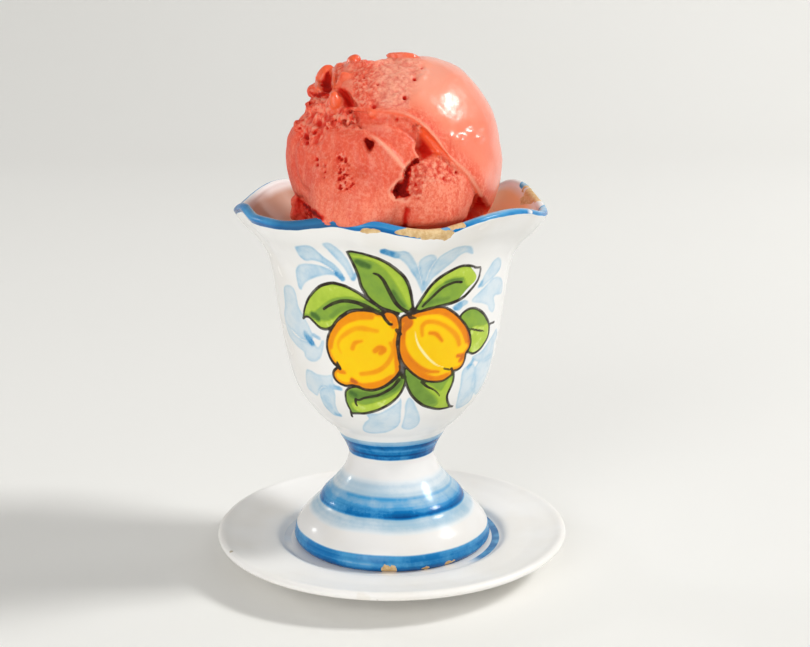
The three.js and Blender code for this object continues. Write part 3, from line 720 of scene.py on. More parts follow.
# A sliver of bare glaze between the paint of the right-hand leaf and its ink line
gap_edge = smooth_line([(24.5, 25.3), (28.2, 24.7), (29.4, 21.4), (27.7, 17.5), (24.7, 15.3),
                        (21.4, 13.7), (23.4, 16.2), (25.5, 18.2), (27.4, 19.6), (27.6, 21.7)],
                       4, closed=True)
leaf = np.minimum(leaf, -depth_inside(gap_edge, places))
for outline, tone in LEAF_TINTS:
    tint_shape(leaf_tone, outline, tone, 0.3)
for points, half, tone in LEAF_DABS:
    tint_stroke(leaf_tone, points, half, tone, 0.5)
for line in LEMON_LINES:
    edge = smooth_line(line, closed=True)
    some, depth = paint_shape(lemon, edge)
    ring = eased(depth, 1.7, 0.9) * (depth > -1)
    lemon_tone[some] += (0.62 - lemon_tone[some]) * ring
    paint_stroke(ink, line + line[:1], [0.4, 0.5, 0.42, 0.5])
for points, half, tone in LEMON_DABS:
    tint_stroke(lemon_tone, points, half, tone, 0.45)
for points, half in INK_STROKES:
    paint_stroke(ink, points, np.array(half) + 0.1)
for outline, paint in WASH_SHAPES:
    some, depth = paint_shape(wash, smooth_line(outline, 4, closed=True))
    wash_paint[some] = np.where(depth > -0.6, np.maximum(wash_paint[some], paint), wash_paint[some])
    wash_rims[some] = np.maximum(wash_rims[some], np.exp(-((depth - 0.35) / 0.45) ** 2))
for points, half, paint in WASH_DABS:
    tint_stroke(wash_paint, points, half, paint, 0.45)
    paint_stroke(wash, points, half)
paint_stroke(glint, [(7.5, 4.9), (7.9, 2.5), (8.8, 0), (10.4, -2.5), (12.2, -4.7), (14.1, -6.5),
                     (16, -7.8), (18.2, -8.6)], [0.1, 0.3, 0.4, 0.4, 0.3, 0.1])

# Chips, where the glaze has broken off the lip and shows the tan clay: how far round and up, and
# half the width and height, in millimetres
CHIPS = [
    (5.6, 39.3, 4.0, 1.5), (9.8, 38.6, 3.4, 1.9), (12.2, 38.0, 2.0, 1.6),
    (14.9, 40.9, 2.2, 1.2), (-4.8, 39.7, 2.3, 0.9), (22.8, 43.6, 1.3, 0.8),
]
# Chips elsewhere: angle from the front in degrees, radius and height of the middle, and half sizes
# along the edge and across it
FAR_CHIPS = [
    (100.5, 51.0, 128.2, 5.4, 2.9), (106.0, 50.8, 128.8, 3.4, 2.6),
    (102.0, 48.6, 126.6, 2.8, 2.2), (-2.2, 34.6, 8.0, 3.1, 2.2),
    (19.0, 34.6, 7.6, 1.8, 1.1), (33.8, 34.8, 8.0, 2.2, 1.1), (37.0, 34.8, 8.4, 0.8, 0.6),
    (28.0, 34.8, 7.4, 0.7, 0.5),
]
# A bead of glaze that stands on the lip: how far round and up
BEAD = (39.0, 41.6)


def spread(values, outside_value=NO_PAINT):
    """A value for every point of the cup, the poles too, from the values at its painted places."""
    whole = np.full(cup_rings.shape[:2], outside_value)
    whole[front] = values
    return np.append(whole.ravel(), [outside_value, outside_value])


def keep(piece, name, values):
    """Stores one number for each point of a mesh under a name that its material reads."""
    layer = piece.data.attributes.new(name, "FLOAT", "POINT")
    layer.data.foreach_set("value", np.asarray(values, np.float32))


def stored(tree, name):
    """The number that is stored under a name."""
    return node(tree, "Attribute", {}, attribute_name=name).outputs["Fac"]


for around_mm, up_mm, wide, high in CHIPS:
    reach = places - (around_mm, up_mm)
    bearing = np.arctan2(reach[:, 1], reach[:, 0])
    ragged = 1 + 0.13 * np.sin(3 * bearing + around_mm) + 0.09 * np.sin(7 * bearing + 2 * around_mm)
    chip = np.maximum(chip, (ragged - np.hypot(reach[:, 0] / wide, reach[:, 1] / high)) * high)

cup_whole_chip = spread(chip)
for bearing, radius, height, along, across in FAR_CHIPS:
    turned_to = math.radians(bearing)
    reach = cup_rings - (radius * math.sin(turned_to), -radius * math.cos(turned_to), height)
    sideways = reach @ (math.cos(turned_to), math.sin(turned_to), 0)
    inward = reach @ (math.sin(turned_to), -math.cos(turned_to), 0)
    ragged = 1 + 0.16 * np.sin(2.1 * sideways + bearing) + 0.1 * np.sin(5.3 * sideways + reach[..., 2])
    gap = np.sqrt((sideways / along) ** 2 + (inward ** 2 + reach[..., 2] ** 2) / across ** 2)
    bite = (ragged - gap) * across
    cup_whole_chip[:-2] = np.maximum(cup_whole_chip[:-2], bite.ravel())
bead = eased(np.hypot(*(places - BEAD).T), 1.1, 0.6)
cup_outward = cup_rings / np.linalg.norm(cup_rings * (1, 1, 0), axis=-1, keepdims=True) * (1, 1, 0)
sunk = 0.5 * eased(cup_whole_chip[:-2].reshape(cup_rings.shape[:2]), -0.1, 0.5)
raised = np.zeros(cup_rings.shape[:2])
raised[front] = 0.6 * bead
cup_rings = cup_rings + cup_outward * (raised - sunk)[..., None]

lip_row = np.cumsum(np.hypot(*np.diff(cup_profile, axis=0).T))[:-1]
crest = lip_row[np.argmax(cup_profile[1:-1, 1])]
from_crest = np.where(np.isin(cup_zone, ["bowl", "lip", "inside"]), crest - lip_row, FAR_FROM_LIP)


def tinted(tone, paints):
    """The colour of a paint at a tone, from the given stops."""
    ramp = joined("ValToRGB", {0: tone})
    elements = ramp.color_ramp.elements
    for position, _ in paints[1:-1]:
        elements.new(position)
    for element, (position, paint) in zip(elements, paints):
        element.position = position
        element.color = paint
    return ramp.outputs[0]


cup_glaze, cup_tree, cup_shader = new_material("cup_glaze")
cup_place = node(cup_tree, "TexCoord", {}).outputs["Object"]
cup_axes = joined("SeparateXYZ", {0: cup_place}).outputs
cup_height = cup_axes["Z"]

# Bands on the foot and neck: a ramp of tones up the height, uneven round the cup and streaked along
# the brush's way, because the noise is squeezed along the height
streak_place = joined("Mapping", {"Vector": cup_place, "Scale": (9.0, 9.0, 420.0)}).outputs[0]
streaks = noise(streak_place, 1.0, 2.0, 0.5)
# Where the ramp begins, how far it reaches and how much its bands waver, in millimetres. The noise
# that wavers them is 0.5 on average, so half of it is taken off
BAND_LOW, BAND_SPAN, BAND_WAVER = 6.5, 42.7, 1.4
band_start = BAND_LOW + BAND_WAVER / 2
band_place = calc("MULTIPLY_ADD", noise(cup_place, 40.0, 1.0), BAND_WAVER * MM, cup_height)
band_share = joined("MapRange", {
    "Value": band_place, 1: band_start * MM, 2: (band_start + BAND_SPAN) * MM}).outputs[0]
# Height in millimetres and tone of each stop
BAND_STOPS = [
    (7.2, 0.72), (8.6, 0.64), (10.5, 0.56), (12.9, 0.5), (13.4, 0.0), (18.6, 0.0), (20.2, 0.13),
    (22.6, 0.22), (23.0, 0.6), (23.5, 0.88), (24.8, 0.76), (25.6, 0.44), (28.3, 0.34), (28.9, 0.17),
    (31.6, 0.12), (34.0, 0.0), (40.1, 0.0), (40.6, 1.0), (42.2, 0.95), (42.8, 0.62), (44.2, 0.58),
    (44.8, 0.72), (46.0, 0.82), (46.5, 0.32), (47.9, 0.24), (48.4, 0.0),
]
band_ramp = tinted(band_share, [
    ((height - BAND_LOW) / BAND_SPAN, (tone, tone, tone, 1)) for height, tone in BAND_STOPS])
band_pull = calc("ADD", ranged(streaks, 0.36, 0.64, -0.22, 0.24),
                 ranged(noise(cup_place, 60.0, 5.0, 0.7), 0.36, 0.64, -0.24, 0.2))
band_tone = calc("MULTIPLY_ADD", band_pull, band_ramp, band_ramp)

# The blue of the lip, between two edges that lie a few millimetres outside and inside the crest.
# Where it starts, thins and ends goes by the bearing, and so does a painted shade: darker to the
# left, away from the key light, and lighter to the right. Darker near both edges and lighter along
# the crest, a painted highlight.
crest_gap = stored(cup_tree, "crest")
lip_gap = calc("MULTIPLY_ADD", noise(cup_place, 90.0, 2.0), 1.6, crest_gap)
cup_bearing = bearing_of(cup_axes)
lip_outer = calc("SUBTRACT", ranged(cup_bearing, 0.1, 0.5, 4.8, 3.2), lip_gap)
lip_stroke = between(cup_bearing, 1.86, 1.88, 1.91, 1.97)
lip_plain = calc("MAXIMUM", ranged(cup_bearing, -1.55, -1.75), ranged(cup_bearing, 1.45, 1.6))
lip_plain = calc("MULTIPLY", lip_plain, calc("SUBTRACT", 1.0, lip_stroke))
lip_start = calc("MULTIPLY_ADD", lip_plain, ranged(cup_bearing, -0.5, 0.5, 2.6, 3.6), -1.9)
lip_inner = calc("SUBTRACT", lip_gap, lip_start)
lip_band = calc("MULTIPLY", ranged(lip_outer, -0.15, 0.15), ranged(lip_inner, -0.3, 0.3))
# Painted highlight and shade: a darker tone near both edges leaves the band lighter along the crest
lip_crest_painted_light = calc("MAXIMUM", ranged(lip_outer, 2.2, 0.6, 0.0, 0.3), ranged(lip_inner, 1.8, 0.4, 0.0, 0.2))
# Painted shade: darker to the left, away from the key light, lighter to the right, darkest at the front left
lip_painted_light_side = ranged(cup_bearing, -0.6, 0.3, 0.12, -0.12)
lip_painted_shade_left = between(cup_bearing, -0.9, -0.6, -0.4, -0.25)
lip_painted_light_side = calc("MULTIPLY_ADD", lip_painted_shade_left, 0.15, lip_painted_light_side)
lip_pull = calc("ADD", calc("ADD", lip_crest_painted_light, lip_painted_light_side),
                ranged(noise(cup_place, 34.0, 4.0, 0.6), 0.36, 0.64, 0.34, 0.64))
lip_tone = calc("MULTIPLY", lip_band, lip_pull)
blue_tone = calc("MAXIMUM", band_tone, lip_tone)

BLUE_STOPS = [(0.0, WHITE_GLAZE), (0.05, colour(232, 238, 241)), (0.2, colour(172, 203, 222)),
              (0.45, colour(78, 162, 214)), (0.7, colour(6, 116, 184)), (1.0, colour(0, 74, 138))]

# Painted shade: a little darker below the neck, and slaty on the lip's blue at the front left
foot_shade_share = ranged(cup_height, 0.0465, 0.05, 1.0, 0.0)
painted = tinted(blue_tone, BLUE_STOPS)
painted = mixed(foot_shade_share, painted, colour(247, 246, 246), "MULTIPLY")
painted_shade_slate_share = calc("MULTIPLY", calc("MULTIPLY", lip_painted_shade_left, 0.6), lip_band)
painted = mixed(painted_shade_slate_share, painted, colour(46, 94, 130))

edge_noise = calc("MULTIPLY_ADD", noise(cup_place, 420.0, 3.0, 0.6), 0.3, -0.15)


def stroke_share(name, soft, uneven):
    """How far a painted layer covers: 0 outside its stored depth and 1 inside, with an uneven
    edge. Both widths are in millimetres."""
    return ranged(calc("MULTIPLY_ADD", edge_noise, uneven, stored(cup_tree, name)), -soft, soft)


# The painting: pale sprays, then leaves and lemons, then the ink drawn over them
wash_body = ranged(noise(cup_place, 190.0, 3.0, 0.6), 0.3, 0.75, 0.6, 1.15)
wash_rim = calc("MULTIPLY", stored(cup_tree, "wash_rims"), 0.13)
wash_strength = calc("MULTIPLY_ADD", stored(cup_tree, "wash_paint"), wash_body, wash_rim)
WASH_STOPS = [(0.0, colour(232, 237, 240)), (0.25, colour(212, 226, 235)), (0.45, colour(182, 210, 228)),
              (0.75, colour(118, 176, 214)), (1.0, colour(60, 140, 196))]
painted = mixed(stroke_share("wash", 0.35, 1.4), painted, tinted(wash_strength, WASH_STOPS))

leaf_noise = noise(cup_place, 260.0, 3.0, 0.6)
LEAF_STOPS = [(0.0, colour(56, 92, 40)), (0.25, colour(92, 130, 50)), (0.5, colour(126, 162, 62)),
              (0.75, colour(156, 188, 56)), (0.95, colour(186, 210, 74)), (1.0, colour(208, 226, 124))]
LEMON_STOPS = [(0.0, colour(252, 208, 0)), (0.3, colour(252, 192, 0)), (0.55, colour(246, 162, 0)),
               (0.8, colour(236, 132, 4)), (1.0, colour(198, 100, 30))]
for layer, uneven, stops in (("leaf", 0.34, LEAF_STOPS), ("lemon", 0.3, LEMON_STOPS)):
    tone = calc("ADD", stored(cup_tree, layer + "_tone"), -uneven / 2)
    tone = calc("MULTIPLY_ADD", leaf_noise, uneven, tone)
    painted = mixed(stroke_share(layer, 0.15, 1.0), painted, tinted(tone, stops))
painted = mixed(stroke_share("glint", 0.2, 0.5), painted, colour(255, 240, 170))
ink_share = calc("MULTIPLY", stroke_share("ink", 0.14, 0.8), ranged(leaf_noise, 0.3, 0.6, 0.86, 1.0))
painted = mixed(ink_share, painted, colour(46, 38, 28))

# Inside the bowl, painted shade and painted light reflected from the gelato on the wall below the lip,
# dull pink on the left and orange on the right. Then the bead, and the clay in the chips
wall_painted_light_early = ranged(cup_axes["X"], -0.042, -0.046, 0.0, -1.6)
wall_painted_light = ranged(calc("ADD", crest_gap, wall_painted_light_early), -2.0, -6.5)
wall_painted_light = calc("MULTIPLY", wall_painted_light, ranged(cup_height, 0.09, 0.11))
wall_painted_light_side = ranged(cup_axes["X"], -0.02, 0.02)
wall_painted_light_colour = mixed(wall_painted_light_side, colour(194, 150, 128), colour(255, 200, 148))
painted = mixed(wall_painted_light, painted, wall_painted_light_colour)
painted = mixed(stored(cup_tree, "bead"), painted, WHITE_GLAZE)
clay_share = ranged(stored(cup_tree, "chip"), -0.06, 0.06)
clay_grain = ranged(noise(cup_place, 700.0, 4.0, 0.7), 0.3, 0.7)
painted = mixed(clay_share, painted, mixed(clay_grain, colour(208, 168, 114), colour(230, 202, 154)))
cup_roughness = calc("MAXIMUM", glazed(cup_shader, cup_place, painted),
                     calc("MULTIPLY", clay_share, 0.85))
plug(cup_shader, {"Roughness": cup_roughness, "Specular IOR Level": 0.15})

cup_points = with_poles(cup_rings, FOOT_INSIDE[0][1], BOWL_INSIDE[-1][1])
cup = new_piece("cup_glazed", cup_points, round_faces(len(cup_rings), CUP_COLUMNS), cup_glaze)
cup_layers = {
    "ink": spread(ink), "leaf": spread(leaf), "lemon": spread(lemon), "wash": spread(wash),
    "glint": spread(glint), "chip": cup_whole_chip, "bead": spread(bead, 0.0),
    "leaf_tone": spread(leaf_tone, 0.5), "lemon_tone": spread(lemon_tone, 0.0),
    "wash_paint": spread(wash_paint, 0.0), "wash_rims": spread(wash_rims, 0.0),
    "crest": np.append(np.repeat(from_crest, CUP_COLUMNS), [FAR_FROM_LIP, FAR_FROM_LIP]),
}
for name, values in cup_layers.items():
    keep(cup, name, values)
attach(cup, "root")
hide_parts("cup")

# ---- gelato ----
# One big scoop of soft fruit gelato on the gelato that fills the bowl, rolled up by the spade from
# folds that do not quite meet. The folds, pits and cracks are smooth fields on a sphere. Lumps and
# ropes are laid on and all is fused, and then a crumb is pushed into the skin where it tore.
SCOOP_CENTRE = np.array([1.3, -14.0, 144.4])
SCOOP_RADIUS = 34.8
SEEN_RADIUS = 34.9
SCOOP_ROWS = 250
SCOOP_COLUMNS = 500
FUSED_GRAIN = 0.515
# How far from a line, and how far outside an outline, the distance to it is worked out on the face
LINE_REACH = 12.0
OUTSIDE_REACH = 4.0

view_axes = np.array(camera.matrix_world.to_3x3())
view_place = (np.array(CAMERA_PLACE) / MM - SCOOP_CENTRE) @ view_axes


def on_face(points):
    """Where points of the scoop are seen: millimetres right of its middle and above it, on the
    plane through the middle that faces the viewer. Also how far they stand out of that plane."""
    seen = (points - SCOOP_CENTRE) @ view_axes
    share = view_place[2] / (view_place[2] - seen[:, 2])
    return view_place[:2] + (seen[:, :2] - view_place[:2]) * share[:, None], seen[:, 2]


def on_ball(right, up):
    """The point of the plain ball that is seen at a place on its face, in the viewer's axes."""
    aim = np.array([right, up, 0.0]) - view_place
    middle, size = aim @ view_place, aim @ aim
    inside = middle ** 2 - size * (view_place @ view_place - SCOOP_RADIUS ** 2)
    return view_place + aim * (-middle - math.sqrt(max(inside, 0.0))) / size


def chance(cells, seed):
    """A repeatable random number from 0 to 1 for each whole-numbered cell of space: a hash, which
    multiplies the cell's numbers by large ones and folds the high digits onto the low."""
    mixed_up = (cells * (374761393, 668265263, 2147483647)).sum(-1) + seed * 1274126177
    mixed_up = (mixed_up ^ (mixed_up >> 13)) * 1103515245
    mixed_up = (mixed_up ^ (mixed_up >> 16)) & 0xFFFFFF
    return mixed_up / 0xFFFFFF


def rough(points, size, seed):
    """Smooth random numbers from -1 to 1: one for each corner of a grid of cubes of the given
    size, and between the corners a blend whose slope is zero at each corner."""
    place = points / size
    low = np.floor(place).astype(np.int64)
    part = place - low
    part = part * part * (3 - 2 * part)
    total = np.zeros(len(points))
    for corner in np.ndindex(2, 2, 2):
        weight = np.prod(np.where(corner, part, 1 - part), axis=-1)
        total += weight * chance(low + corner, seed)
    return 2 * total - 1


def crumbed(points, size, seed):
    """Rough numbers at three sizes, each half of the one before."""
    return (rough(points, size, seed) + 0.5 * rough(points, size / 2, seed + 1)
            + 0.25 * rough(points, size / 4, seed + 2)) / 1.4


def pocked(points, size, seed):
    """Distance to the nearest of many random spots, one in each cube of a grid, in cube sizes."""
    place = points / size
    low = np.floor(place).astype(np.int64)
    nearest = np.full(len(points), 9.0)
    for step in np.ndindex(3, 3, 3):
        cell = low + step - 1
        spot = cell + np.stack([chance(cell, seed + axis) for axis in range(3)], -1)
        nearest = np.minimum(nearest, np.linalg.norm(place - spot, axis=1))
    return nearest


# Lines and outlines on the scoop's face: millimetres right of its middle and above it
SCOOP_OUTLINE = [
    (-31.0, -14.2), (-33.3, -10.9), (-34.8, -6), (-35.6, 1.7), (-34.9, 7), (-32.6, 11.6),
    (-29.4, 14.4), (-28.2, 19), (-25.2, 23), (-22.6, 27.4), (-18.8, 30.4), (-13.8, 31.8),
    (-8, 32.2), (-2, 32.6), (5.3, 33), (12.5, 32.5), (20.8, 29.4), (27.4, 23.4), (32.3, 14.9),
    (34.3, 5.6), (35.6, -0.3), (35.3, -4.3), (33.7, -11.6), (30.7, -18.2), (27, -24)]
LIP = [(-15.8, 16.8), (-13.2, 16.3), (-9.9, 16.2), (-6.6, 16), (-3, 15.8), (0.7, 15.5),
       (3.6, 14.9), (5.9, 13.9), (8.6, 12.2), (11.2, 9.9), (13.9, 6.9), (16.2, 3.6), (18.2, 1),
       (20.5, -1.3), (22.8, -3.3), (24.4, -5), (26.1, -7.6), (27.7, -10.2), (28.7, -12.2)]
LIP_STEP = [1.3, 1.5, 1.5, 2.0, 3.0, 3.0, 1.6, 1.2, 1.4, 2.2]
LOOP = [(-24.9, 22.6), (-25, 25.4), (-24, 28), (-22.4, 29.7), (-20.8, 29.8), (-19.8, 27.8), (-19.8, 24.9),
        (-20.2, 22)]
CREASE = [(-12.5, 10.9), (-10.2, 9.6), (-7.9, 7.9), (-5.9, 6.6), (-3.6, 4.6), (-1.3, 2.3),
          (1, -0.3), (2.3, -2), (3.6, -3.3)]
CAVITY = [(8.4, 10.2), (10.2, 9.2), (12.4, 6.6), (14.2, 4.2), (15.2, 2.2), (13.4, 0.9), (12, 0),
          (10.6, -0.8), (9.2, -0.9), (8.3, 0.6), (7.4, 2.1), (6.9, 3.9), (8, 5.3), (8.2, 7.2)]
SPLIT = [(-1.3, -10.9), (0.6, -8.4), (1.6, -7.4), (2.9, -7), (2.6, -5.4), (3.6, -3.6),
         (4.8, -2), (5.8, -0.9), (7.2, 0.3), (8.4, 0.6), (8.2, -1.2), (6.8, -2.6), (5.8, -4.2),
         (5.3, -6), (5.6, -8.6), (5.2, -10.2), (5.7, -11.8), (4, -13.6), (2, -13.1), (0, -12.9)]
LOOP_INSIDE = [(-23.9, 22.8), (-23.9, 25.2), (-23.1, 27.4), (-21.9, 28.6), (-21.1, 28.6), (-20.8, 27.4),
               (-20.8, 24.9), (-21.1, 22.4)]
SMALL_HOLE = [(-9.9, 6.3), (-8.9, 7.3), (-7.8, 6.4), (-6.6, 6.2), (-6.2, 4.6), (-6.9, 3.1), (-7.9, 2.3),
              (-9, 3), (-9.5, 4.6)]
CLEFT = [(-18.8, 23.4), (-16.4, 23.4), (-14.6, 21.8), (-13.2, 19.6), (-12.2, 17), (-13.4, 16.1),
         (-15.9, 16.3), (-17.1, 18), (-17.8, 20.6)]
RECESS = [(28.4, -12.2), (29.9, -14.2), (31, -16.8), (30.4, -20), (27.7, -24), (22.8, -25.4),
          (19.5, -23.6), (22.8, -19.6), (24.9, -15.9), (26.8, -13.4)]
CRAG_GAP = [(-27.8, 22.4), (-25.2, 21.9), (-22.4, 22.4), (-21.2, 21), (-23.8, 19.8), (-27, 20.4)]
TORN_TOP = [(-14.5, 34.7), (-4.6, 35.3), (3.6, 35.7), (8.9, 31.8), (7.3, 26.4), (5.2, 21.2),
            (4.3, 16.8), (0.3, 16.2), (-6.3, 16.5), (-12.5, 17.2), (-14, 20.5), (-14.6, 27.1)]
TORN_BALL = [(4.2, -4.2), (7.4, -1.2), (9.6, -0.6), (14.5, 0.4), (18.2, -0.6), (20.6, -3.2),
             (22.6, -5.6), (19.8, -8.6), (14.5, -7.9), (10.6, -9), (7.5, -12.6), (4.8, -11.4)]
TORN_CRAG = [(-33, 11.8), (-31, 21), (-28, 25.5), (-25, 32), (-19, 34), (-16, 28), (-18.2, 22),
             (-16, 16.6), (-12.5, 15.8), (-12.2, 10.9), (-16.2, 9.4), (-22, 9.6), (-24, 5),
             (-30, 3.2), (-32, 8)]
TORN_PATCH = [(-19.2, 1.3), (-16.5, 2.2), (-14.6, -1), (-13.9, -5), (-13.2, -8.3), (-14.5, -11.4),
              (-17.8, -10.4), (-18.9, -6.9), (-18.5, -2.6)]
TORN_FOOT = [(-32, -13.6), (-27.7, -16.8), (-23.4, -20.4), (-25.1, -23.1), (-30, -23.1), (-33, -20.1)]
FOLD = [(-31.4, 8.9), (-32, 6.9), (-33, 4), (-33.4, -0.3), (-33, -3.6), (-31.9, -6.9),
        (-30.4, -9.4), (-28.4, -10.7), (-26.2, -10.9)]
SLIT = [(-31.7, -13.6), (-28.4, -15.8), (-23.8, -19.5)]
UNDERCUT = [(-7.5, -23.2), (-2, -22.9), (4, -22.6), (9, -23.9), (15, -24.2), (20.5, -23), (24, -21.6),
            (27, -25), (16, -30), (0, -30), (-9, -28)]
SEAM = [(4.5, -16.8), (4.2, -18.2), (3.6, -21.5), (3.3, -24.6)]
HOLLOW = [(-10.6, -2.6), (-9.2, -9.2), (-7.9, -14.9), (-6.6, -20.1)]
SPLIT_SIDE = [(8.6, 0.4), (11, -1.2), (11.8, -4), (10.4, -7), (9.6, -10.5), (8.8, -13.2), (6.4, -13.8),
              (5.8, -11.8), (5.3, -9), (5.2, -6), (5.8, -4), (7, -2)]
# Hollows: outline, how soft the edge is and how deep they are in millimetres, and how dark a red
# painted shade lies in them
HOLLOWS = [(CAVITY, 1.9, 6.5, 0.55), (SPLIT, 1.1, 6.2, 0.9), (SMALL_HOLE, 0.9, 4.9, 0.85),
           (CLEFT, 1.5, 5.8, 0.6), (RECESS, 1.0, 6.5, 0.62), (UNDERCUT, 1.3, 5.2, 0.6),
           (CRAG_GAP, 0.9, 2.6, 0.75), (LOOP_INSIDE, 0.7, 1.2, 0.7)]
# Torn places: outline, how soft the edge is, size and height of the granules in millimetres, below
# zero for pits, and how red a painted shade is between the granules or in the pits
TEARS = [
    (TORN_TOP, 1.3, 1.7, 0.3, 0.18), (TORN_BALL, 1.6, 1.7, 0.42, 0.34), (TORN_CRAG, 1.2, 2.5, 0.85, 0.34),
    (TORN_PATCH, 1.0, 1.4, -1.0, 0.8), (TORN_FOOT, 0.5, 1.7, 0.8, 0.75),
    (SPLIT_SIDE, 0.7, 1.5, 0.95, 0.3), (SPLIT, 0.3, 1.4, 0.9, 0.0),
]
# Pits and knobs: right, up, size and height, all in millimetres
DENTS = [
    (-29.4, 7.6, 1.2, -1.4), (-29.1, 5.2, 1.0, -1.3), (-26.4, 8.6, 0.9, -1.3),
    (-25.8, -0.2, 0.8, -1.3), (-25.6, -2.0, 0.7, -1.2), (-22.9, -2.2, 0.6, -0.9),
    (-22.8, -4.2, 0.6, -1.0), (-22.9, -6.0, 0.5, -0.8), (-24.6, 3.0, 0.7, -0.5),
    (-15.6, -9.8, 0.5, -0.9), (-28.0, -3.0, 0.6, -0.7),
    (-11.0, 10.2, 0.6, -0.8), (-21.9, -11.9, 0.4, -0.5), (-21.7, -13.1, 0.4, -0.5),
    (-12.9, -8.1, 0.6, -0.7), (-6.6, 17.4, 0.9, -1.0), (-5.3, 24.7, 0.5, -0.9),
    (-9.8, 26.8, 0.5, -0.8), (6.9, 26.4, 0.8, -1.3), (3.6, 20.2, 0.8, -1.3),
    (9.2, 29.9, 0.5, -0.8), (1.0, 13.0, 0.8, -1.0), (20.6, -4.6, 0.8, -1.0),
    (16.6, -6.4, 0.9, -0.9), (7.0, -8.6, 0.9, -1.1), (7.4, -0.8, 0.6, -1.0),
    (14.4, -16.4, 0.5, -0.6), (12.7, -14.8, 0.6, -0.4), (-27.6, 18.6, 1.0, -1.2),
    (-25.0, 12.0, 1.4, -0.9), (-22.2, 10.2, 0.6, -1.0), (-31.0, 9.7, 0.8, -1.2),
    (18.5, 25.0, 7.0, 1.0), (20.2, 19.4, 5.0, -0.15), (16.0, 9.6, 2.4, -0.45), (21.8, 8.8, 1.8, -0.5),
    (28.4, 10.2, 1.6, -0.6), (24.8, 10.8, 1.5, -0.4), (18.0, 2.4, 3.2, -0.5), (8.4, -9.6, 1.1, 0.6),
    (5.8, -5.0, 0.8, -0.7), (8.2, -4.0, 0.7, -0.7),
    (22.3, 6.0, 1.5, 0.75),
    (28.0, 6.6, 1.3, 0.7), (25.6, 8.9, 1.2, 0.35), (18.6, 7.0, 1.4, 0.4), (9.4, 26.6, 1.0, 0.45),
    (10.4, 28.2, 0.8, 0.4), (8.2, 21.4, 1.5, 0.3), (-19.2, -17.0, 9.0, 0.8),
    (27.5, -4.0, 5.0, 0.5), (-2.0, -2.0, 6.0, 0.4), (-22.2, 25.8, 1.3, -1.3),
    (-21.8, 23.4, 1.3, -1.5),
]
# Lumps: right, up, how far they stand out, half sizes, turn in degrees, and how glassy they are
LUMPS = [
    (-24.0, 27.9, -1.6, (2.3, 3.5, 2.0), -8, 0.0), (-17.8, 30.5, -0.9, (2.2, 1.8, 2.0), 10, 0.8),
    (-13.3, 32.0, -0.3, (2.2, 2.7, 2.4), -35, 1.0), (-19.5, 19.1, 0.0, (1.7, 3.0, 2.0), 12, 1.0),
    (-27.2, 22.2, -0.8, (2.0, 2.6, 2.2), 20, 0.3), (-28.2, 17.6, -0.8, (1.9, 2.4, 2.0), 0, 0),
    (-31.6, 10.9, -0.7, (1.9, 2.3, 2.2), -15, 0), (-24.6, 17.0, -0.6, (2.8, 1.7, 1.4), 0, 0),
    (-16.2, 14.9, -0.1, (1.1, 1.9, 1.1), 15, 0), (-17.6, 13.0, -0.1, (0.9, 1.5, 0.9), -20, 0),
    (-15.0, 12.4, -0.1, (0.8, 1.6, 0.8), -10, 0), (-19.8, 13.4, -0.1, (1.5, 1.0, 0.8), 0, 0),
    (-14.3, 14.3, -0.1, (0.9, 0.9, 0.8), 0, 0), (-21.6, 12.0, -0.1, (1.0, 1.0, 0.9), 0, 0),
    (-17.8, 11.2, -0.1, (0.9, 0.7, 0.8), 0, 0), (-12.9, 12.2, -0.1, (0.7, 1.5, 0.6), 12, 0),
    (3.2, 34.0, -0.4, (5.2, 1.2, 2.6), -3, 0.8), (-7.2, 14.9, 0.1, (1.3, 1.6, 1.0), -8, 0.6),
    (13.6, -10.3, -8.2, (11.2, 10.2, 9.4), 0, 0), (6.8, -12.2, -0.2, (1.5, 1.6, 1.0), 0, 0),
    (7.4, -8.8, 0.1, (1.2, 1.5, 0.9), 15, 0), (-33.0, -15.2, -1.4, (2.0, 2.6, 1.8), 10, 0.2),
    (-33.6, -18.2, -1.2, (1.7, 2.4, 1.7), -20, 0.1), (-31.2, -20.4, -1.2, (2.2, 1.6, 1.7), 0, 0.1),
    (-30.2, -17.6, -1.7, (2.6, 2.6, 1.6), 0, 0), (-16.9, 26.0, -0.9, (2.3, 3.6, 1.5), -12, 0.5),
]
# Ropes: points, radii along them, and how far they stand out
ROPES = [
    (LIP, [0.5, 0.75, 0.8, 0.8, 0.85, 0.8, 0.6, 0.55, 0.95, 0.95], -0.1),
    (LOOP, [0.7, 0.95, 1.0, 1.0, 0.85, 0.6, 0.45, 0.4], 0.1),
    ([(-7, 14.7), (-2, 14), (3, 12.9), (7, 11.2), (9.6, 9)], [0.3, 0.4, 0.5, 0.4, 0.2], -0.7),
    ([(-6, 13.2), (-1, 12.4), (3.4, 11.4), (6.4, 9.9)], [0.2, 0.3, 0.35, 0.2], -0.9),
    (CREASE, [0.35, 0.6, 0.7, 0.7, 0.5], -0.1),
]


def along_face(line, spots):
    """For places on the face: the distance to a line, at most the reach, and the share along it."""
    line = np.asarray(line, float)
    some = nearby(line, LINE_REACH, spots)
    gap, along = np.full(len(spots), LINE_REACH), np.zeros(len(spots))
    near, share = distance_along(line, spots[some])
    gap[some], along[some] = np.minimum(near, LINE_REACH), share
    return gap, along


def within_face(outline, spots):
    """How deep places on the face lie inside a closed outline, and below zero outside it, down to
    the reach."""
    edge = smooth_line(outline, 4, closed=True)
    some = nearby(edge, OUTSIDE_REACH, spots)
    depth = np.full(len(spots), -OUTSIDE_REACH)
    depth[some] = np.maximum(depth_inside(edge, spots[some]), -OUTSIDE_REACH)
    return depth


def bell(gap, size):
    """1 where the gap is zero: e to the power of minus the square of the gap over the size."""
    return np.exp(-(gap / size) ** 2)


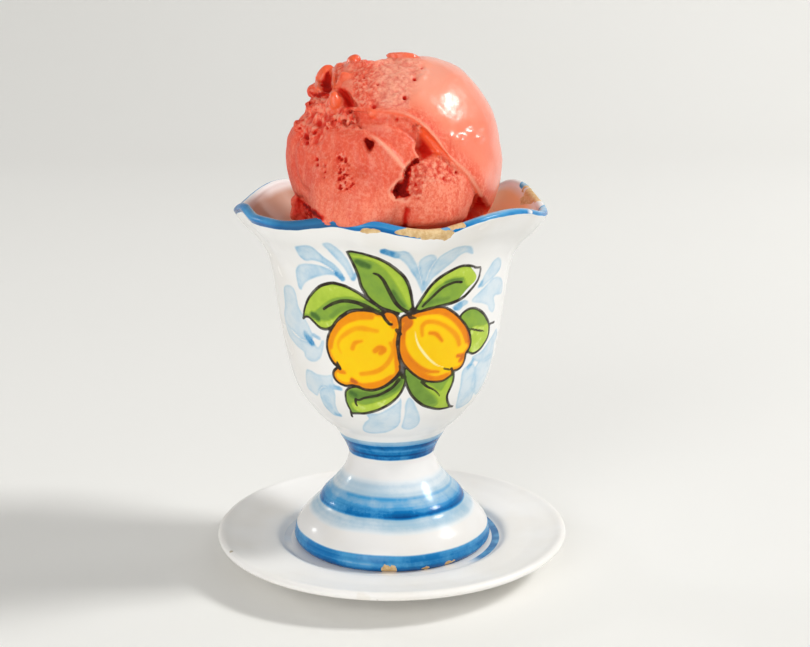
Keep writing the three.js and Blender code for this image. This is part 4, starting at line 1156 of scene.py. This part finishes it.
cap_outline = np.array(LIP + [(31, -18), (34, -30), (60, -30), (60, 60), (-19, 60), (-19, 24)])
cap_outline = np.vstack([cap_outline, cap_outline[:1]])


def ragged_face(points, spots):
    """Places on the face, moved a little at random so that a line drawn there is uneven."""
    wander = np.stack([rough(points, 2.2, 21), rough(points, 2.2, 22)], 1)
    return spots + 0.45 * wander + 0.35 * np.stack([rough(points, 1.0, 23), rough(points, 1.0, 24)], 1)


def scoop_fields(points):
    """Where some points of the scoop are seen, and the fields that shape and colour it there: how
    far they face the viewer, how torn, how hollow in millimetres, and how red the painted shade
    in hollows and the slit is, from 0 to 1."""
    spots, out = on_face(points)
    ahead = eased(out / SCOOP_RADIUS, -0.12, 0.2)
    ragged = ragged_face(points, spots)
    torn, hollow, red = (np.zeros(len(points)) for _ in range(3))
    for outline, soft, *_ in TEARS:
        torn = np.maximum(torn, eased(within_face(outline, 2 * ragged - spots), -soft, soft))
    for outline, soft, depth, tint in HOLLOWS:
        share = eased(within_face(outline, ragged), -0.2, soft)
        hollow, red = np.maximum(hollow, depth * share), np.maximum(red, tint * share)
    # A red painted shade along the slit under the fold
    slit = bell(along_face(SLIT, ragged)[0], 0.8)
    hollow, red = np.maximum(hollow, 5.0 * slit), np.maximum(red, slit)
    return spots, out, ahead, torn * ahead, hollow * ahead, red * ahead


def lip_ribs(points, under, along):
    """Ribs that run along the lip, left by the spade in the fold below it, from -1 to 1."""
    ribs = rough(np.stack([under / 0.75, along * 5, 0 * under], 1), 1.0, 34)
    return ribs * eased(under, 0.4, 1.2) * eased(under, 9.5, 6) * eased(along, 0.62, 0.5)


def scoop_relief(points):
    """How far the scoop's skin stands off the plain ball, in millimetres, before it is fused."""
    spots, out, ahead, torn, hollow, _ = scoop_fields(points)
    # The outline: how wide the scoop is at each angle round its face
    bearing = np.arctan2(spots[:, 1], spots[:, 0])
    outline = np.array(SCOOP_OUTLINE)
    known = np.arctan2(outline[:, 1], outline[:, 0])
    order = np.argsort(known)
    radius = np.interp(bearing, known[order], np.hypot(*outline[order].T), period=2 * math.pi)
    relief = (radius - SEEN_RADIUS) * eased(np.abs(out) / SCOOP_RADIUS, 0.8, 0.1)
    # The step down from the lip of the outer fold, and the ribs below it
    gap, along = along_face(LIP, spots)
    under = gap * (depth_inside(cap_outline, spots) < 0)
    step = np.interp(along, np.linspace(0, 1, len(LIP_STEP)), LIP_STEP)
    relief -= ahead * step * eased(under, 0.0, 0.8) * np.exp(-under / 7) * eased(gap, 11.5, 6.0)
    relief += ahead * 0.6 * lip_ribs(points, under, along)
    # The plane that the spade left, with fine and broad ridges along its stroke
    plane = eased(-gap, -9, -13) * (np.sum(spots * (0.8, 0.6), 1) < 2)
    across = spots[:, 0] + 0.22 * spots[:, 1] + 0.01 * spots[:, 1] ** 2
    ridges = rough(np.stack([across / 1.5, spots[:, 1] / 13, 0 * across], 1), 1.0, 35)
    broad = rough(np.stack([across / 4.2, spots[:, 1] / 17, 0 * across], 1), 1.0, 36)
    relief += ahead * plane * (0.34 * ridges + 0.6 * broad)
    # The crease, lower on its right, and then the fold, the seam and the shallow hollow
    gap, _ = along_face(CREASE, spots)
    side = crease_side(spots)
    relief -= ahead * 1.3 * eased(side * gap, 0.0, 0.7) * np.exp(-gap / 4) * (side > 0) * eased(gap, 8, 4)
    relief -= ahead * 1.0 * bell(along_face(FOLD, spots)[0], 0.8) * (1 + 0.3 * rough(points, 4, 33))
    relief -= ahead * 2.2 * bell(along_face(SEAM, ragged_face(points, spots))[0], 0.9)
    relief -= ahead * 0.5 * bell(along_face(HOLLOW, spots)[0], 2.6)
    # Slow unevenness all over, and lumpiness where it is torn
    relief += 0.45 * rough(points, 14, 41) + 0.16 * rough(points, 5, 42)
    relief += torn * (0.5 * crumbed(points, 3.4, 43) - 0.3)
    crag = eased(within_face(TORN_CRAG, spots), -0.5, 2.0) * ahead
    relief += crag * (1.3 * rough(points, 3.8, 45) - 0.5)
    return relief - hollow


def crease_side(spots):
    """1 for places right of and above the crease, -1 for those left of and below it."""
    start, end = np.array(CREASE[0]), np.array(CREASE[-1])
    run = end - start
    return np.where(run[0] * (spots[:, 1] - start[1]) - run[1] * (spots[:, 0] - start[0]) > 0, 1.0, -1.0)


def shell_grid(rows, columns):
    """Directions on a sphere, ring by ring from pole to pole, with the two poles last."""
    polar = (np.arange(rows) + 1) / (rows + 1) * math.pi
    around_axis = np.arange(columns) / columns * 2 * math.pi
    ring = np.sin(polar)[:, None]
    grid = np.stack([ring * np.cos(around_axis), ring * np.sin(around_axis),
                     -np.cos(polar)[:, None] + 0 * around_axis], -1)
    return np.vstack([grid.reshape(-1, 3), [(0, 0, -1), (0, 0, 1)]])


# The ball. Its lower front spreads out under its weight, and laps over the lip of the cup
SKIRT_ANGLE = -13.4
SKIRT_LIMIT = 69
# Where it spreads: degrees from the middle of the skirt, reach, and how far of the whole way
SPREADS = [(0, 14, 1.0), (31, 15, 0.55), (-9, 9, 0.9)]
SKIRT_SHAPE = [(120, 25), (125.5, 40), (127.2, 49.6), (128.4, 52.4), (130, 53), (133, 52.6), (137, 51.6),
               (142, 49.8), (148, 46), (160, 30)]
ball = SCOOP_CENTRE + SCOOP_RADIUS * shell_grid(SCOOP_ROWS, SCOOP_COLUMNS)
outward = (ball - SCOOP_CENTRE) / SCOOP_RADIUS
ball = ball + outward * scoop_relief(ball)[:, None]
away = ball * (1, 1, 0) / np.linalg.norm(ball[:, :2], axis=1, keepdims=True)
spread_angle = np.degrees(np.arctan2(ball[:, 0], -ball[:, 1])) - SKIRT_ANGLE
skirt = np.interp(ball[:, 2], *np.transpose(SKIRT_SHAPE)) - np.hypot(ball[:, 0], ball[:, 1])
spread_share = np.max([most * bell(spread_angle - middle, reach) for middle, reach, most in SPREADS], axis=0)
skirt = (skirt + np.sqrt(skirt ** 2 + 2.0)) / 2 * spread_share
ball += away * (skirt * (np.abs(spread_angle) < SKIRT_LIMIT))[:, None]
shells = [(ball, round_faces(SCOOP_ROWS, SCOOP_COLUMNS))]

# Lumps and ropes, at places on the face
LUMP_ROWS, LUMP_COLUMNS, ROPE_COLUMNS = 22, 36, 12


def tilted(points, degrees):
    """Points turned about the line of sight."""
    turned_by = math.radians(degrees)
    across = points[:, 0] * math.cos(turned_by) - points[:, 1] * math.sin(turned_by)
    upward = points[:, 0] * math.sin(turned_by) + points[:, 1] * math.cos(turned_by)
    return np.stack([across, upward, points[:, 2]], 1)


small = shell_grid(LUMP_ROWS, LUMP_COLUMNS)
for number, (right, up, lift, half, tilt, glassy) in enumerate(LUMPS):
    shape = small * half * (1 + (0.22 - 0.12 * glassy) * crumbed(small, 0.9, 60 + number)[:, None])
    seat = on_ball(right, up) * (1 + lift / SCOOP_RADIUS)
    shells.append((SCOOP_CENTRE + (seat + tilted(shape, tilt)) @ view_axes.T,
                   round_faces(LUMP_ROWS, LUMP_COLUMNS)))
around_rope = np.arange(ROPE_COLUMNS) / ROPE_COLUMNS * 2 * math.pi
for line, radii, lift in ROPES:
    run = smooth_line(line, 6)
    middle = np.array([on_ball(right, up) * (1 + lift / SCOOP_RADIUS) for right, up in run])
    onward = np.gradient(middle, axis=0)
    onward /= np.linalg.norm(onward, axis=1, keepdims=True)
    first = np.cross(onward, (0, 0, 1.0))
    first /= np.linalg.norm(first, axis=1, keepdims=True)
    second = np.cross(onward, first)
    radius = np.interp(np.linspace(0, 1, len(run)), np.linspace(0, 1, len(radii)), radii)
    rings = middle[:, None] + radius[:, None, None] * (
        first[:, None] * np.cos(around_rope)[None, :, None]
        + second[:, None] * np.sin(around_rope)[None, :, None])
    tube = np.vstack([rings.reshape(-1, 3), middle[:1], middle[-1:]])
    shells.append((SCOOP_CENTRE + tube @ view_axes.T, round_faces(len(run), ROPE_COLUMNS)))

gelato, gelato_tree, gelato_shader = new_material("gelato")
starts = np.cumsum([0] + [len(points) for points, _ in shells])
scoop_faces = [[i + start for i in face] for (_, faces), start in zip(shells, starts.tolist())
               for face in faces]
scoop = new_piece("gelato_scoop", np.vstack([points for points, _ in shells]), scoop_faces, gelato)
fuse = scoop.modifiers.new("fuse", "REMESH")
fuse.mode = "VOXEL"
fuse.voxel_size = FUSED_GRAIN * MM
fuse.use_smooth_shade = True
fused = bpy.data.meshes.new_from_object(scoop.evaluated_get(bpy.context.evaluated_depsgraph_get()))
scoop.modifiers.clear()
scoop.data = fused
fused.materials.clear()
fused.materials.append(gelato)


def wobble(points, size, seed):
    """A rough number for each of the three axes."""
    return np.stack([rough(points, size, seed + 10 * axis) for axis in range(3)], 1)


def vertex_rows(mesh, name):
    """A vector of every vertex of a mesh, as the rows of an array."""
    rows = np.empty(len(mesh.vertices) * 3)
    mesh.vertices.foreach_get(name, rows)
    return rows.reshape(-1, 3)


# The crumb: granules, pits and dents, pushed into the fused skin along its own normals
skin, normal = vertex_rows(fused, "co") / MM, vertex_rows(fused, "normal")
spots, _, ahead, torn, _, red = scoop_fields(skin)
back_torn = eased(rough(skin, 16, 71), 0.1, 0.5) * (1 - ahead)
push = 0.06 * crumbed(skin, 2.4, 77) + back_torn * 0.5 * crumbed(skin, 2.2, 66)
loose = skin + 0.35 * wobble(skin, 1.0, 74)
# How glassy it is on the lumps and on the loop, with a painted orange glow of light shining through
# them
glassy_glow = np.zeros(len(skin))
for right, up, lift, half, tilt, glassy in LUMPS:
    reach = (skin - SCOOP_CENTRE) @ view_axes - on_ball(right, up) * (1 + lift / SCOOP_RADIUS)
    gap = np.linalg.norm(tilted(reach, -tilt) / half, axis=1)
    glassy_glow = np.maximum(glassy_glow, glassy * eased(gap, 1.5, 1.15))
loop_gap, _ = along_face(LOOP, spots)
glassy_glow = np.maximum(glassy_glow, eased(loop_gap, 1.6, 0.9))
# Granules and pits where it tore: a painted highlight on top of a granule, and a red painted shade
# between them and in a pit
edge = np.zeros(len(skin))
seen_loose = spots + 0.7 * wobble(skin, 1.5, 68)[:, :2]
for number, (outline, soft, size, height, tint) in enumerate(TEARS):
    share = eased(within_face(outline, seen_loose), -0.5 * soft, soft) * ahead
    share *= eased(rough(skin, 4.0, 90 + number), -1.0, -0.5) * (1 - glassy_glow)
    gap = pocked(loose, size, 80 + 3 * number)
    if height < 0:
        gap = 1.0 - gap
    grain = np.minimum(0.45 - gap, 0.45 if height > 0 else 0.0)
    push += share * abs(height) * grain * 1.6
    red = np.maximum(red, share * tint * eased(gap, 0.42, 0.72))
    edge = np.maximum(edge, share * min(max(2 * height, 0.0), 0.85) * eased(gap, 0.42, 0.12))
torn = np.maximum(torn, back_torn)
push += torn * (0.22 * crumbed(skin, 1.7, 72))
dent_spots = spots + 0.18 * rough(skin, 1.1, 78)[:, None]
for right, up, size, height in DENTS:
    gap = np.hypot(*(dent_spots - (right, up)).T)
    push += height * bell(gap, size) * ahead
    # A deep pit gets a red painted shade
    if height < -0.75:
        red = np.maximum(red, ahead * eased(gap, 1.2 * size, 0.3 * size) * min(0.75, -height / 1.8))
skin += normal * push[:, None]
fused.vertices.foreach_set("co", (skin * MM).ravel())
fused.update()

# Tints: glassy, with a painted orange glow of light through thin gelato and on the lit wall of the
# cavity, painted highlights along edges, and wet where the spade smoothed it
lip_gap_mm, lip_along = along_face(LIP, spots)
cap_depth = depth_inside(cap_outline, spots)
glassy_glow = np.maximum(
    glassy_glow, 0.7 * bell(lip_gap_mm - 0.4, 1.0) * eased(lip_along, 0.1, 0.3) * (cap_depth < 0.3))
# The cavity's wall under the lip is painted light: glowing orange, and its red painted shade is taken off
lit_wall = (within_face(CAVITY, spots) > -0.5) * eased(lip_gap_mm, 4.8, 2.8)
glassy_glow = np.maximum(glassy_glow, lit_wall)
red = red * (1 - lit_wall)
# Red painted shade on the flake at the lower left, on the torn foot below it, more at its far left, and
# along the seam
flake = eased(np.hypot((spots[:, 0] + 33.0) / 2.8, (spots[:, 1] + 16.3) / 5.8), 1.15, 0.85) * ahead
red = np.maximum(red, 0.35 * flake)
foot_left = eased(spots[:, 0], -27.0, -31.0)
red = np.maximum(red, (0.25 + 0.3 * foot_left) * eased(within_face(TORN_FOOT, spots), -1.2, 0.4) * ahead)
seam_red = bell(along_face(SEAM, ragged_face(skin, spots))[0], 0.9)
red = np.maximum(red, 0.5 * seam_red * ahead)
crease_gap, crease_along = along_face(CREASE, spots)
# Painted highlights along the lip, the crease, and the edges of the split and the cavity
edge = np.maximum(edge, 0.85 * bell(lip_gap_mm, 0.45) * eased(lip_along, 0.1, 0.5))
edge = np.maximum(edge, bell(crease_gap, 0.6) * eased(crease_along, 0.15, 0.5))
edge = np.maximum(edge, 0.7 * bell(within_face(SPLIT, spots) + 0.5, 0.45) * (spots[:, 0] < 5.5))
edge = np.maximum(edge, 0.5 * bell(within_face(CAVITY, spots) + 0.4, 0.4) * (spots[:, 0] < 9.0))
# Near the left edge, a red tint: a painted glow of light shining through the gelato there
left_edge = eased(spots[:, 0], -22.0, -30.0) * ahead
red = np.maximum(red, 0.15 * left_edge)
cap_share = eased(cap_depth, 0.0, 6.0) * ahead
ball_share = eased(np.hypot(spots[:, 0] - 14, spots[:, 1] + 10), 12.0, 8.0) * ahead
smooth_share = 0.26 * (1 - torn) * (1 - 0.7 * left_edge) * (1 - cap_share) * (1 - ball_share)
smooth_share *= eased(cap_depth, -0.2, -1.5) * ahead
# Paler on the cap, a painted sheen, and less so low on the right; paler on the ball and low at the front
lower = eased(spots[:, 1] - 0.6 * spots[:, 0], 10.0, -12.0)
low_front = 0.55 * eased(spots[:, 1], -4.0, -17.0) * ahead
# Painted highlight: lighter round the dome's highlight and on the lit top where it tore
dome_highlight_bloom = cap_share * eased(np.hypot(spots[:, 0] - 11, spots[:, 1] - 26), 10.0, 2.0)
top_lit_bloom = torn * eased(spots[:, 0], -9.5, -1.5) * eased(spots[:, 1], 3.0, 9.0)
highlight_bloom = 0.35 * ahead * np.maximum(top_lit_bloom, dome_highlight_bloom)
tints = {
    "torn": torn, "ruddy": torn * eased(spots[:, 0], -1.5, -9.5), "highlight_bloom": highlight_bloom, "red": red,
    "glassy_glow": glassy_glow * ahead, "edge": edge * ahead,
    "pale_and_sheen": np.maximum(np.maximum(cap_share * (1 - 0.4 * lower), 0.7 * ball_share), low_front),
    "wet": np.maximum(cap_share * (1 - torn), smooth_share),
    "ribs": lip_ribs(skin, lip_gap_mm * (cap_depth < 0), lip_along) * ahead,
}
for name, values in tints.items():
    keep(scoop, name, values)

gelato_place = node(gelato_tree, "TexCoord", {}).outputs["Object"]
grain_place = joined("Mapping", {"Vector": gelato_place, "Scale": (1.0, 1.0, 0.7)}).outputs[0]
streak_place = joined("Mapping", {"Vector": gelato_place, "Scale": (1.0, 1.0, 0.3)}).outputs[0]
slow = noise(gelato_place, 90.0, 3.0)
streak = noise(streak_place, 420.0, 3.0, 0.6)
crumb = noise(gelato_place, 900.0, 4.0, 0.65)
fine = noise(grain_place, 2300.0, 3.0, 0.6)
torn_share = stored(gelato_tree, "torn")
wet_share = calc("MAXIMUM", stored(gelato_tree, "wet"), stored(gelato_tree, "glassy_glow"))
matt_share = calc("SUBTRACT", 1.0, wet_share)
DARKER, LIGHTER = colour(222, 50, 28), colour(255, 172, 146)
flesh = mixed(ranged(slow, 0.3, 0.7), colour(234, 94, 66), colour(243, 109, 78))
# Paler on the cap, a painted sheen; paler on the ball and low at the front
flesh = mixed(stored(gelato_tree, "pale_and_sheen"), flesh, colour(248, 143, 112))
ruddy_share = calc("MULTIPLY", stored(gelato_tree, "ruddy"), 0.8)
flesh = mixed(ruddy_share, flesh, colour(255, 110, 80))
crumb_share = calc("MAXIMUM", torn_share, calc("MULTIPLY", matt_share, 0.5))
# Grain: what varies, where it shows, and how far it darkens when low and lightens when high
GRAINS = [
    (fine, matt_share, (0.5, 0.34, 0.0, 0.42), (0.54, 0.7, 0.0, 0.22)),
    (streak, matt_share, (0.5, 0.34, 0.0, 0.34), (0.52, 0.68, 0.0, 0.3)),
    (crumb, crumb_share, (0.5, 0.36, 0.0, 0.65), (0.48, 0.66, 0.0, 0.75)),
    # The ribs darken in their grooves and lighten on their ridges: painted shade and painted highlight
    (stored(gelato_tree, "ribs"), 1.0, (0.0, -0.8, 0.0, 0.35), (0.0, 0.8, 0.0, 0.4)),
]
for value, shown, low, high in GRAINS:
    for limits, grain_tint in ((low, DARKER), (high, LIGHTER)):
        strength = calc("MULTIPLY", shown, ranged(value, *limits))
        flesh = mixed(strength, flesh, grain_tint)
# Painted highlight round the dome's highlight and on the torn top
flesh = mixed(stored(gelato_tree, "highlight_bloom"), flesh, colour(255, 188, 164))
# Painted orange glow where the gelato is glassy and thin, and on the cavity's lit wall
flesh = mixed(stored(gelato_tree, "glassy_glow"), flesh, colour(248, 98, 52))
# Painted highlights on granule tops and along edges
flesh = mixed(stored(gelato_tree, "edge"), flesh, colour(255, 176, 146))
# Red painted shade in the hollows, pits, creases and crevices
shade_red_share = stored(gelato_tree, "red")
shade_deep_red = mixed(ranged(shade_red_share, 0.4, 1.0), colour(212, 34, 14), colour(126, 7, 4))
flesh = mixed(ranged(shade_red_share, 0.0, 0.5), flesh, shade_deep_red)
gelato_roughness = calc("MAXIMUM", ranged(wet_share, 0.0, 1.0, 0.55, 0.36),
                        ranged(shade_red_share, 0.2, 0.6, 0.0, 0.9))
coat_share = calc("MULTIPLY", ranged(wet_share, 0.0, 1.0, 0.02, 0.9),
                  ranged(shade_red_share, 0.1, 0.5, 1.0, 0.1))
crumb_height = calc("MULTIPLY", crumb, calc("MULTIPLY_ADD", torn_share, 0.8, 0.2))
crumb_height = calc("MULTIPLY_ADD", fine, calc("MULTIPLY_ADD", matt_share, 0.5, 0.08), crumb_height)
gelato_bump = joined("Bump", {"Height": crumb_height, "Strength": 0.9, "Distance": 0.0005})
plug(gelato_shader, {
    "Base Color": flesh, "Roughness": gelato_roughness, "Normal": gelato_bump.outputs["Normal"],
    "Coat Weight": coat_share, "Coat Roughness": 0.25, "Specular IOR Level": 0.2,
    "Subsurface Weight": 0.08, "Subsurface Radius": (1.0, 0.3, 0.14), "Subsurface Scale": 0.003,
})

# The gelato in the bowl, flush with the wall, with a soft uneven top that shows beside the scoop
FILL_PROFILE = [(0, 51.6), (20, 56), (28.9, 67.8), (33.3, 85.2), (36.8, 108), (38, 110.4), (36.6, 111.2),
                (28, 112), (0, 113)]
FILL_COLUMNS = 150
fill_profile = softened(stepped(FILL_PROFILE, 1.3), 2)
fill_angles = np.linspace(0, 2 * math.pi, FILL_COLUMNS, endpoint=False)
fill_rings = turned(fill_profile[1:-1], fill_angles)
fill_points = with_poles(fill_rings, FILL_PROFILE[0][1], FILL_PROFILE[-1][1])
near_top = eased(fill_points[:, 2], 106, 110)
front_side = eased(-fill_points[:, 1], 0, 30)
fill_points[:, 2] += near_top * (8 * front_side + 0.7 * crumbed(fill_points, 6, 81))
fill = new_piece("gelato_fill", fill_points, round_faces(len(fill_rings), FILL_COLUMNS), gelato)
# The fill's top is torn, with a little red painted shade beside the scoop
for name in tints:
    keep(fill, name, near_top * {"torn": 1.0, "red": 0.2}.get(name, 0.0))
for piece in (scoop, fill):
    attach(piece, "root")
    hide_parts("gelato")
